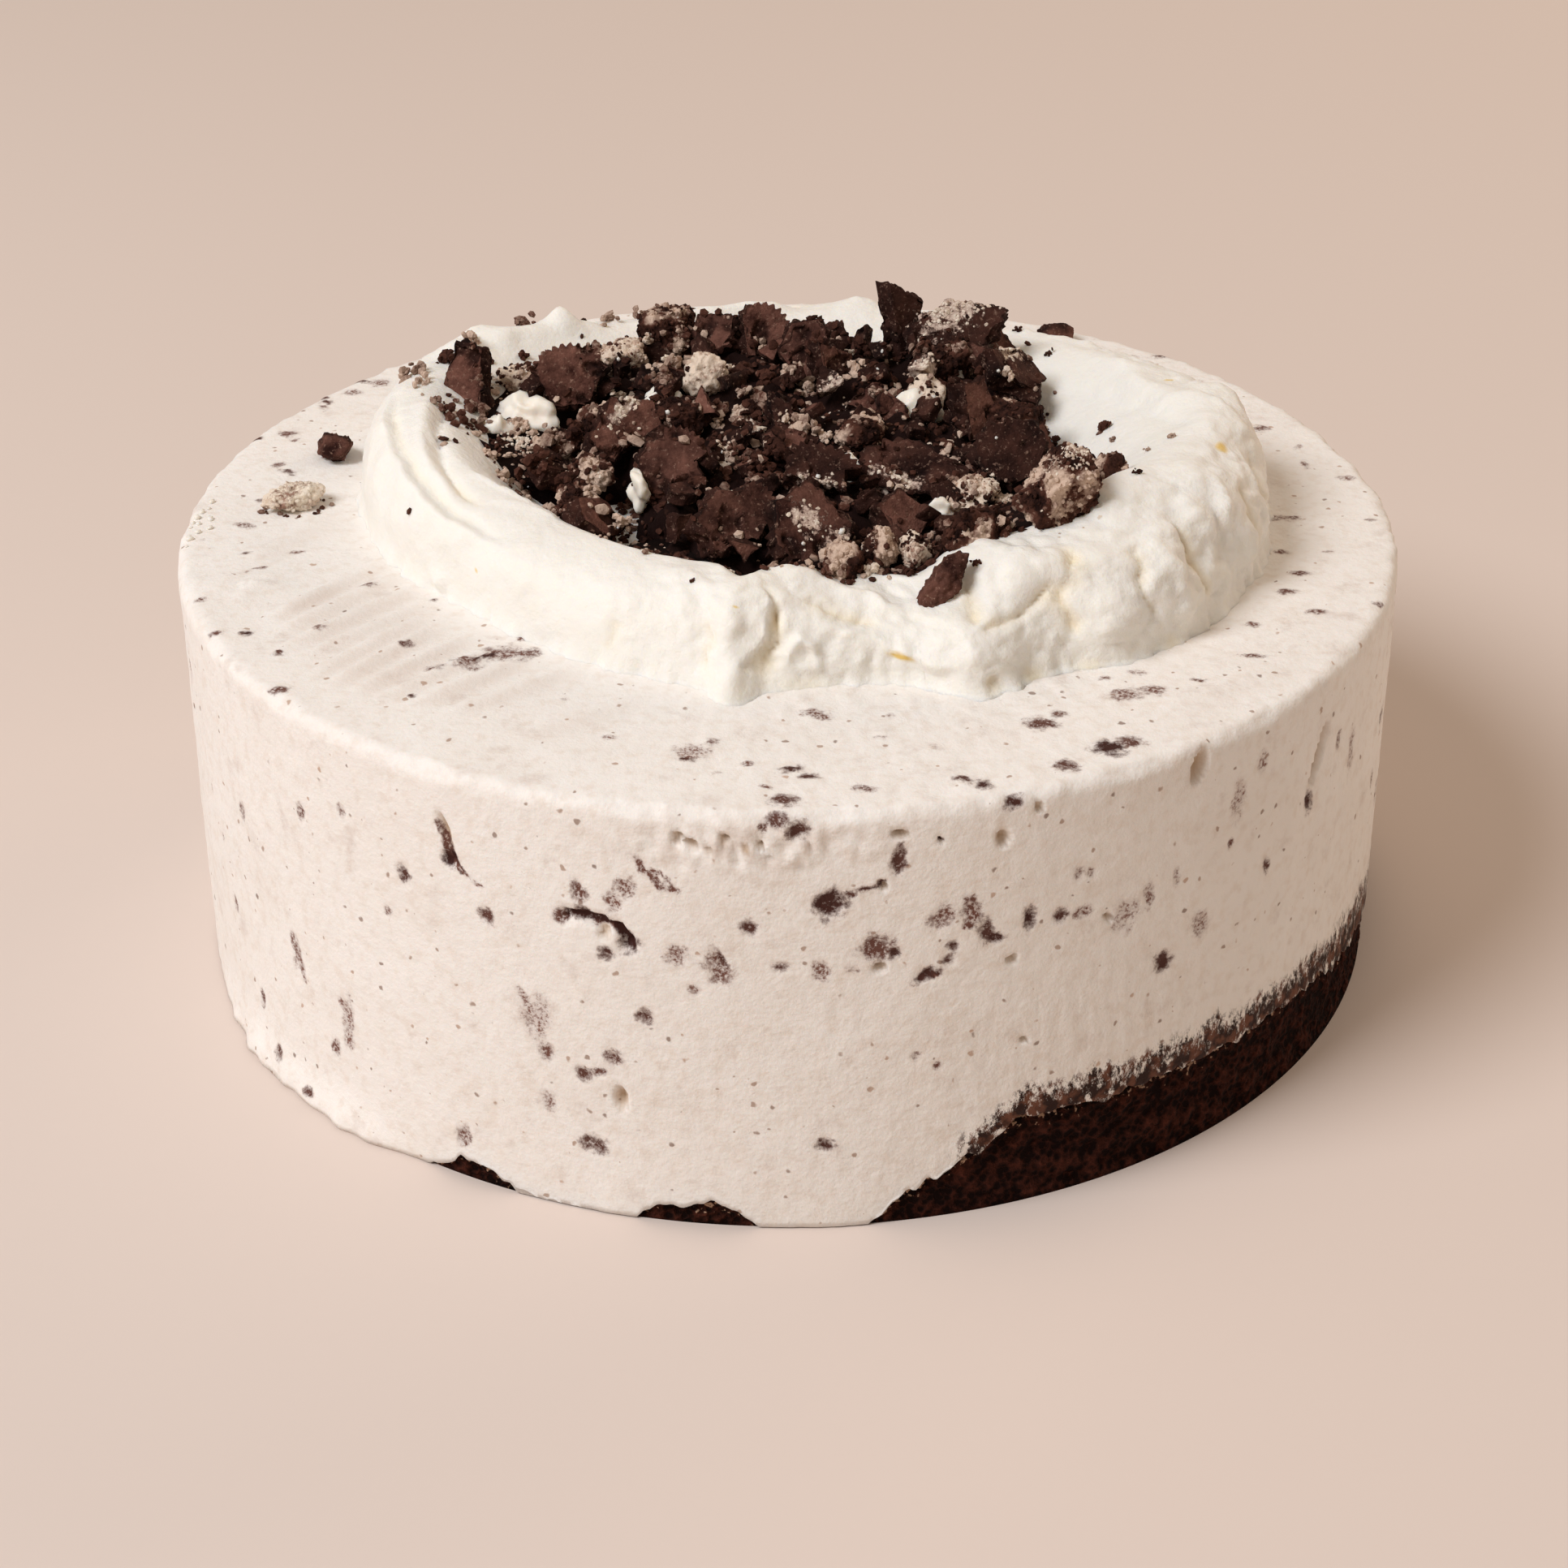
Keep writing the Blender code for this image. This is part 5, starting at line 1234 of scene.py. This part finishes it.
def filling_material():
    """Vanilla sandwich filling, creamed sugar and fat, crushed: pale, dry, flecked with cocoa."""
    material, tree, shader, place = make_material(
        "vanilla filling", 0.75, Subsurface_Weight=0.2, Subsurface_Radius=(1.0, 0.8, 0.6),
        Subsurface_Scale=1.5 * MM,
    )  # fmt: skip
    tone = add_node(tree, "Attribute", {}, "Fac", attribute_name="tone")
    fleck, patches = (
        add_node(
            tree, "TexNoise", {"Vector": place, "Scale": 1 / (size * MM), "Detail": fine, "Roughness": rough}
        )
        for size, fine, rough in ((0.8, 3, 0.7), (4, 2, 0.5))
    )
    cocoa = add_node(tree, "Math", {0: fleck, 1: 0.7, 2: patches}, operation="MULTIPLY_ADD")
    cocoa = add_node(tree, "MapRange", {"Value": cocoa, "From Min": 0.88, "From Max": 1.06, "To Max": 0.85})
    finish_material(tree, shader, colour("#EEDFCB"), ((tone, "#D6BDA9"), (cocoa, "#7C4A34")), fleck, 0.8, 0.5)
    return material


def crumb_material():
    """Crushed cookie: wafer crumbs with filling rubbed into them, from near black through brown to tan."""
    material, tree, shader, place = make_material("crushed cookie", 0.9, Specular_IOR_Level=0.1)
    tone = add_node(tree, "Attribute", {}, "Fac", attribute_name="tone")
    fleck, patches = (
        add_node(
            tree, "TexNoise", {"Vector": place, "Scale": 1 / (size * MM), "Detail": fine, "Roughness": rough}
        )
        for size, fine, rough in ((1.1, 4, 0.75), (4, 2, 0.5))
    )
    mixed = add_node(tree, "Math", {0: patches, 1: 0.7, 2: tone}, operation="MULTIPLY_ADD")
    mixed = add_node(tree, "Math", {0: fleck, 1: 1.1, 2: mixed}, operation="MULTIPLY_ADD")
    brown, pale = (
        add_node(tree, "MapRange", {"Value": mixed, "From Min": low, "From Max": high})
        for low, high in ((0.75, 1.45), (1.3, 1.85))
    )
    finish_material(tree, shader, colour("#1B0C09"), ((brown, "#603C30"), (pale, "#D0B7A4")), fleck, 0.8, 0.5)
    return material


def frost_material():
    """Bits of whipped cream and frozen cream: plain bright white."""
    material, tree, shader, place = make_material(
        "cream bits", 0.5, Subsurface_Weight=0.5, Subsurface_Radius=(1.0, 0.8, 0.6), Subsurface_Scale=2 * MM
    )
    tint = add_node(tree, "TexNoise", {"Vector": place, "Scale": 1 / (3 * MM)})
    finish_material(tree, shader, colour("#FAF3E8"), ((tint, "#EDE1D0"),))
    return material


# Crumbs

CRUMB_KINDS, CLUSTER_KINDS, CLUSTER_PARTS = 6, 10, 15  # forms of crumbs and clusters, crumbs in a cluster
HEAP_CRUMBS, HEAP_CLUSTERS, EDGE_CRUMBS = 3300, 200, 420
FILLING_BITS, FILLING_CLUSTERS, CREAM_BITS = 110, 30, 60
DARK_GRAINS = 34  # round the lump of filling
DROP_FROM = 0.2  # m, above everything
ANYWHERE = 20  # mm over the heap's core, which nothing reaches

# Where the whipped cream shows through the heap: x, y, length, width and height above the ice cream
CREAM_SHOWS = (
    (-50, 18, 13, 8, 13.4), (-24, 19, 7, 5, 15), (-33, 5, 5, 4, 14), (25, 15, 9, 7, 15), (-27, -20, 3, 6, 14),
    (33, 29, 4, 3, 15), (-55, 12, 6, 4, 12), (12, -12, 4, 3, 14), (28, -30, 5, 3, 13),
)  # fmt: skip
SHOWN_THICKNESS = 7  # mm
# Clusters of crumbs on the thin left part of the heap: x and y
LEFT_CLUSTERS = (
    (-66, 10), (-63, 8), (-58, 12), (-55, 6), (-52, 3), (-60, 16), (-70, 20), (-72, 26), (-56, 0), (-50, -4),
    (-46, -8), (-44, -13), (-48, 8), (-66, 32), (-52, 40), (-53, 55), (-62, 40), (-40, -18), (-42, -22),
    (-36, -24), (-53, -9), (-30, -30), (-34, -36), (-28, -38), (-45, 1), (-38, -6), (-40, 4),
)  # fmt: skip
# Single crumbs on the cream and the ice cream: x, y, size and how pale
LONE_CRUMBS = (
    (52, 4, 5.5, 0.8), (50, 0, 2.0, 0.3), (60.5, 8.5, 3.4, 0.3), (61.3, 1.4, 1.4, 0.5),
    (65.9, -15.7, 1.5, 0.7), (70.5, -12.7, 1.4, 0.6), (61.7, -34, 1.8, 0.1), (88.8, 25.4, 1.3, 0.3),
    (58.6, 53.4, 4.5, 0.0), (47, 54, 2.0, 0.1), (52, 40, 1.6, 0.2), (32, -57, 1.8, 0.1),
    (-16.5, -60, 1.1, 0.1), (-19, 70, 2.6, 0.2), (-30, 66, 3.0, 0.6), (-36, 62, 4.2, 0.7),
    (-41, 58, 1.4, 0.2),
)  # fmt: skip
# Beads of frost on the cake's left rim: x and y
FROST_BEADS = (
    (-111.5, 3), (-112.5, -1), (-111, -6), (-112, -12), (-110.5, 8), (-109.5, 0), (-111.8, -9), (-109, -4),
    (-112.6, -3), (-112, 1), (-111.4, -2), (-110.4, 5), (-112.2, -8),
)  # fmt: skip
# Filling that still sticks to the pieces: x, y, length, width and turn, and the number of grains
SMEARS = (
    (33, 39, 17, 7, 15, 160), (-30, 5, 13, 2.5, 52, 50), (6, -25, 11, 3, -8, 40), (43, 25, 10, 3, 45, 30),
    (3, -44, 7, 5, 0, 30), (-42, 30, 10, 5, 0, 60), (38, -24, 8, 7, 0, 140), (49, -41, 12, 9, 60, 160),
    (-50, 8, 14, 8, -30, 110), (20, -20, 12, 3, -12, 30), (-14, -4, 8, 5, 0, 50), (26, 22, 10, 8, 0, 90),
    (-58, 30, 10, 8, 0, 90), (8, 14, 9, 4, 30, 40), (-36, -14, 10, 5, -40, 60), (12, -46, 12, 5, 0, 60),
)  # fmt: skip


def crumb_shapes(rng):
    """A few uneven little crumbs, each as (points, faces), about 1 across."""
    ball, faces = unit_ball(1)
    form = ball * np.array((1.1, 1.0, 0.75))
    return [(form * broken_ball(ball * 2, rng, breaks=9), faces) for _ in range(CRUMB_KINDS)]


def clustered(shapes, rng):
    """Clusters of a few crumbs that stuck together, each as (points, faces), about 1 across."""
    clusters = []
    for _ in range(CLUSTER_KINDS):
        parts = []
        for _ in range(CLUSTER_PARTS):
            crumb, faces = rng.choice(shapes)
            turned_by = any_turn(rng)
            middle = np.array([rng.gauss(0, width) for width in (0.22, 0.22, 0.15)])
            parts.append((crumb @ turned_by.T * rng.triangular(0.18, 0.6, 0.3) + middle, faces))
        clusters.append(together(parts))
    return clusters


def dollop(x, y, length, width, level, rng):
    """A soft, uneven lump of whipped cream, as (points, faces, tone)."""
    ball, faces = unit_ball(4)
    out = ball * 2
    points = ball * broken_ball(out, rng, 7) * np.array((length, width, SHOWN_THICKNESS)) * MM
    seed = rng.uniform(0, 100)
    swell = 2.0 * (0.2 - np.abs(uneven(points, (1, 3.6, seed)))) + uneven(points, (0.7, 2.0, seed))
    points += out * (swell * MM)[:, None]
    points += out * (uneven(points, (0.25, 0.9, seed)) * MM)[:, None]
    turned_by = turning((0, 0, rng.uniform(-0.4, 0.4)))
    return points @ turned_by.T + above_cake(x, y, level), faces, np.zeros(len(points))


def surface_below(objects):
    """A tree of the finished pieces' faces, to drop crumbs on."""
    shapes = [(positions(obj), [face.vertices for face in obj.data.polygons]) for obj in objects]
    points, faces = together(shapes)
    return BVHTree.FromPolygons(points.tolist(), faces)


def dropped(surface, rng, shapes, spots, sizes, tones=None, sink=0.2, highest=1000):
    """Crumbs laid on the surface below each spot (x, y), as shapes for joined(). Of those that would land
    higher than the highest, in mm over the heap's core, few stay. Their tones are given or any."""
    made = []
    for i, ((x, y), size) in enumerate(zip(spots, sizes)):
        hit, normal, _, _ = surface.ray_cast(Vector((x * MM, y * MM, DROP_FROM)), Vector((0, 0, -1)))
        if hit is None:
            continue
        azimuth, radius, height = polar(np.array([hit]))
        share = np.minimum(radius / (around(HEAP_OUTLINE, azimuth) * MM), 1.0)
        if height[0] > heap_height(azimuth, share)[0] + highest * MM and rng.random() > 0.06:
            continue
        crumb, faces = rng.choice(shapes)
        turned_by = turning([rng.uniform(-0.5, 0.5), rng.uniform(-0.5, 0.5), rng.uniform(0, 6.28)])
        tilt = np.array(normal.to_track_quat("Z", "Y").to_matrix())
        stretch = np.array((rng.uniform(0.8, 1.4), 1.0, rng.uniform(0.8, 1.1)))
        middle = np.array(hit) + np.array(normal) * size * MM * (0.35 - sink)
        tone = rng.random() if tones is None else tones[i]
        points = (crumb * stretch) @ turned_by.T @ tilt.T * size * MM + middle
        made.append((points, faces, np.full(len(points), tone)))
    return made


def scattered(surface, rng, shapes, spots, sizes, tone=None, **how):
    """Crumbs dropped on spots. Sizes are the least, the most and the usual one, and tone is a rule."""
    drawn = [rng.triangular(*sizes) for _ in spots]
    tones = [tone(spot, rng) for spot in spots] if tone else None
    return dropped(surface, rng, shapes, spots, drawn, tones, **how)


def one_of(*tones):
    """A rule that gives any of some tones."""
    return lambda spot, rng: rng.choice(tones)


def patchy(spot, rng):
    """How pale a crumb of the heap is there: dark ones and ones with filling gather in patches."""
    patch = noise.noise((spot[0] / 9, spot[1] / 9, 3.0))
    thin = 0.25 * float(smooth_step(-40, -62, spot[0]))
    own = rng.choice((0.0, 0.05, 0.1, 0.2, 0.4, 0.7))
    return min(1.0, max(0.0, own + thin + 1.5 * max(0.0, patch - 0.05)))


def over_heap(count, rng, reach=1.0):
    """Spots spread evenly over the heap, with fewer on its thin left part."""
    spots = []
    for _ in range(count):
        azimuth, share = rng.uniform(-180, 180), math.sqrt(rng.random()) * reach
        if -112 < azimuth < -32 and share > 0.6 and rng.random() < 0.55:
            continue
        spots.append(on_cake(azimuth, share * around(HEAP_OUTLINE, azimuth), 0.0)[:2])
    return spots


def past_edge(rng):
    """Spots past the heap's edge, thinning out over the cream and the ice cream, most on the left."""
    spots = []
    while len(spots) < EDGE_CRUMBS:
        azimuth = rng.uniform(-180, 180)
        left = 0.5 - 0.5 * math.sin(math.radians(azimuth + 20))
        if rng.random() > 0.15 + 0.85 * left:
            continue
        more = rng.expovariate(1 / (1.2 + 3.0 * left)) - 14 * left * rng.random()
        spots.append(on_cake(azimuth, around(HEAP_OUTLINE, azimuth) - 2 + more, 0.0)[:2])
    return spots


def smeared(points):
    """How thickly filling is spread at each point, from 0 to 1."""
    x, y = points[:, 0] / MM, points[:, 1] / MM
    thick = np.zeros(len(x))
    for x0, y0, length, width, turn, _ in SMEARS:
        along, across = turned(x - x0, y - y0, turn)
        thick = np.maximum(thick, hill((along, 0.62 * length), (across, 0.62 * width)))
    return thick


def smear(x, y, length, width, turn, count, rng):
    """Spots within a long patch, thicker towards its middle."""
    spots = []
    for _ in range(count):
        dx, dy = turned(rng.gauss(0, length / 4), rng.gauss(0, width / 4), -turn)
        spots.append((x + dx, y + dy))
    return spots


def crumbs_round_filling(surface, small, big):
    """Dark crumbs round the lump of filling that lies on the ice cream."""
    x, y, length, width, *_ = FILLING_CRUMB
    rng = random.Random(8)
    shapes = []
    for _ in range(DARK_GRAINS):
        angle, reach = rng.uniform(0, math.tau), rng.uniform(0.4, 0.6)
        spot = (x + math.cos(angle) * length * reach, y + math.sin(angle) * width * reach)
        size, tone = rng.triangular(0.4, 1.7, 0.7), rng.choice((0.1, 0.3, 0.5))
        shapes += dropped(surface, rng, small, [spot], [size], [tone], highest=ANYWHERE)
    return shapes + dropped(surface, rng, big, [(x + 1, y + 4.6)], [2.8], [0.1], highest=ANYWHERE)


def make_crumbs(surface, materials):
    """Crumbs of cookie, grains of filling and bits of cream, dropped on the finished pieces."""
    rng = random.Random(31)
    small = crumb_shapes(rng)
    big = clustered(small, rng)
    shapes = scattered(surface, rng, small, over_heap(HEAP_CRUMBS, rng), (0.3, 2.4, 0.7), patchy, highest=2)
    spots = over_heap(HEAP_CLUSTERS, rng)
    shapes += scattered(surface, rng, big, spots, (2.0, 5.5, 3.0), patchy, highest=1.5)
    tones = one_of(0.1, 0.2, 0.3, 0.45, 0.8)
    shapes += scattered(surface, rng, small, past_edge(rng), (0.4, 2.2, 0.7), tones)
    x, y, sizes, tones = zip(*LONE_CRUMBS)
    shapes += dropped(surface, rng, big, zip(x, y), sizes, tones, highest=ANYWHERE)
    shapes += scattered(surface, rng, big, LEFT_CLUSTERS, (2.5, 6, 4), one_of(0.1, 0.3, 0.5, 0.7, 0.9))
    shapes += crumbs_round_filling(surface, small, big)
    joined("cookie_crumbs", shapes, materials["crumb"], "tone", crease=35)

    shapes = scattered(surface, rng, small, over_heap(FILLING_BITS, rng), (0.4, 2.0, 0.8), highest=2)
    for patch in SMEARS:
        shapes += scattered(surface, rng, small, smear(*patch, rng), (0.3, 1.2, 0.5), sink=0.5)
    spots = over_heap(FILLING_CLUSTERS, rng, reach=1.03)
    shapes += scattered(surface, rng, big, spots, (2.0, 4.4, 2.6), highest=1.5)
    joined("filling_crumbs", shapes, materials["filling"], "tone", crease=35)

    spots = over_heap(CREAM_BITS, rng, reach=0.97)
    sizes = [rng.triangular(0.3, 1.3, 0.5) for _ in spots] + [rng.uniform(0.7, 1.5) for _ in FROST_BEADS]
    shapes = dropped(surface, rng, small, [*spots, *FROST_BEADS], sizes, highest=9)
    shapes += [dollop(*spec, rng) for spec in CREAM_SHOWS]
    joined("cream_bits", shapes, materials["frost"], "tone")


def loose_shape(spec, seed, detail):
    """A piece lying loose on the ice cream's top, flat where it rests, as (points, faces)."""
    x, y, length, width, height, turn = spec
    lift = 0.42 * height + GAP / MM
    size = (length, width, 1.2 * height)
    points, faces, _ = crumbly_lump((0, 0, lift, *size), random.Random(seed), detail, grain=1.6)
    points = points @ turning((0, 0, math.radians(turn))).T + np.array((x * MM, y * MM, 0))
    points[:, 2] = np.maximum(points[:, 2], CAKE_HEIGHT)
    return points, faces


def make_loose_pieces(materials):
    """The broken wafer on the cream, and the two wafers and the lump of filling on the ice cream."""
    turned_by = turning([math.radians(a) for a in FRONT_WAFER_TURNS])
    shard = crumbly_lump(FRONT_WAFER, random.Random(3), 5, 1.7, breaks=7, tone=0.45, turned_by=turned_by)
    joined("front_wafer_shard", [shard], materials["wafer"], "broken", ["front_wafer"])
    for name, spec, seed in (("left_wafer", LEFT_WAFER, 1), ("back_wafer", BACK_WAFER, 2)):
        points, faces = loose_shape(spec, seed, 4)
        shape = (points, faces, np.clip(0.4 + uneven(points, (1.2, 3)), 0, 1))
        joined(f"{name}_piece", [shape], materials["wafer"], "broken", [name])
    points, faces = loose_shape(FILLING_CRUMB, 4, 5)
    x, y, length, *_ = FILLING_CRUMB
    rim = np.hypot(points[:, 0] / MM - x, points[:, 1] / MM - y) / (0.5 * length)
    lump = (points, faces, 0.35 * smooth_step(0.4, 0.9, rim))
    rng = random.Random(14)
    pressed = crusted(lump, rng, crumb_shapes(rng), FILLING_CRUMB_PRESSED, (0.5, 1.9, 0.8), 0.05)
    for grain, _, _ in pressed:
        grain[:, 2] = np.maximum(grain[:, 2], CAKE_HEIGHT)
    shapes = [lump, *pressed]
    joined("filling_crumb_piece", shapes, materials["filling"], "tone", ["filling_crumb"])


# The studio

CAMERA_EYE = (-1.02 * MM, -557.6 * MM, 335.2 * MM)
CAMERA_AIM = (-1.02 * MM, 0.0, 23.27 * MM)
CAMERA_LENS = 73.9  # mm, on a sensor 36 mm wide
CAMERA_ROLL = -0.41  # degrees


def aimed(place, aim):
    """Where a camera or light stands that looks from a place at its aim."""
    towards = (Vector(aim) - Vector(place)).to_track_quat("-Z", "Y").to_matrix().to_4x4()
    return Matrix.Translation(place) @ towards


def make_camera():
    data = bpy.data.cameras.new("camera")
    data.lens, data.sensor_width = CAMERA_LENS, 36
    data.clip_start, data.clip_end = 0.05, 20
    camera = add_object("camera", data)
    camera.matrix_world = aimed(CAMERA_EYE, CAMERA_AIM) @ Matrix.Rotation(math.radians(CAMERA_ROLL), 4, "Z")
    bpy.context.scene.camera = camera


def add_light(name, place, size, power, hex_colour):
    data = bpy.data.lights.new(name, "AREA")
    data.shape, data.size, data.energy = "DISK", size, power
    data.color = colour(hex_colour)[:3]
    add_object(name, data).matrix_world = aimed(place, (0, 0, 0.05))


def make_studio():
    bm = bmesh.new()
    bmesh.ops.create_grid(bm, x_segments=1, y_segments=1, size=4.0)
    mesh = bpy.data.meshes.new("floor")
    bm.to_mesh(mesh)
    bm.free()
    material, _, shader, _ = make_material("painted floor", 0.8)
    shader.inputs["Base Color"].default_value = colour("#DECFC5")
    mesh.materials.append(material)
    add_object("floor", mesh)
    add_light("key", (-1.4, -0.95, 1.9), 1.2, 49, "#F8FAFF")
    add_light("side fill", (1.35, 1.15, 0.8), 1.0, 8, "#FFE2C8")
    world = bpy.data.worlds.new("studio")
    world.use_nodes = True
    background = world.node_tree.nodes["Background"]
    background.inputs["Color"].default_value = colour("#F2E0CE")
    background.inputs["Strength"].default_value = 0.44
    bpy.context.scene.world = world
    bpy.context.scene.view_settings.view_transform = "Standard"


def main():
    materials = {
        "wafer": wafer_material(), "filling": filling_material(), "crumb": crumb_material(),
        "frost": frost_material(),
    }  # fmt: skip
    body = make_ice_cream(ice_cream_material())
    make_sponge(sponge_material())
    ring = make_cream(cream_material())
    core = make_heap_core(materials["crumb"])
    wafers = make_wafers(materials["wafer"])
    pressed = []
    fillings = make_lumps("filling_lumps", ("filling", "paste"), materials["filling"], pressed)
    lumps = make_lumps("crumb_lumps", ("crumb", "dark"), materials["crumb"], pressed)
    joined("pressed_crumbs", pressed, materials["crumb"], "tone", crease=35)
    surface = surface_below([body, ring, core, *wafers, fillings, lumps])
    make_crumbs(surface, materials)
    make_loose_pieces(materials)
    make_camera()
    make_studio()


main()
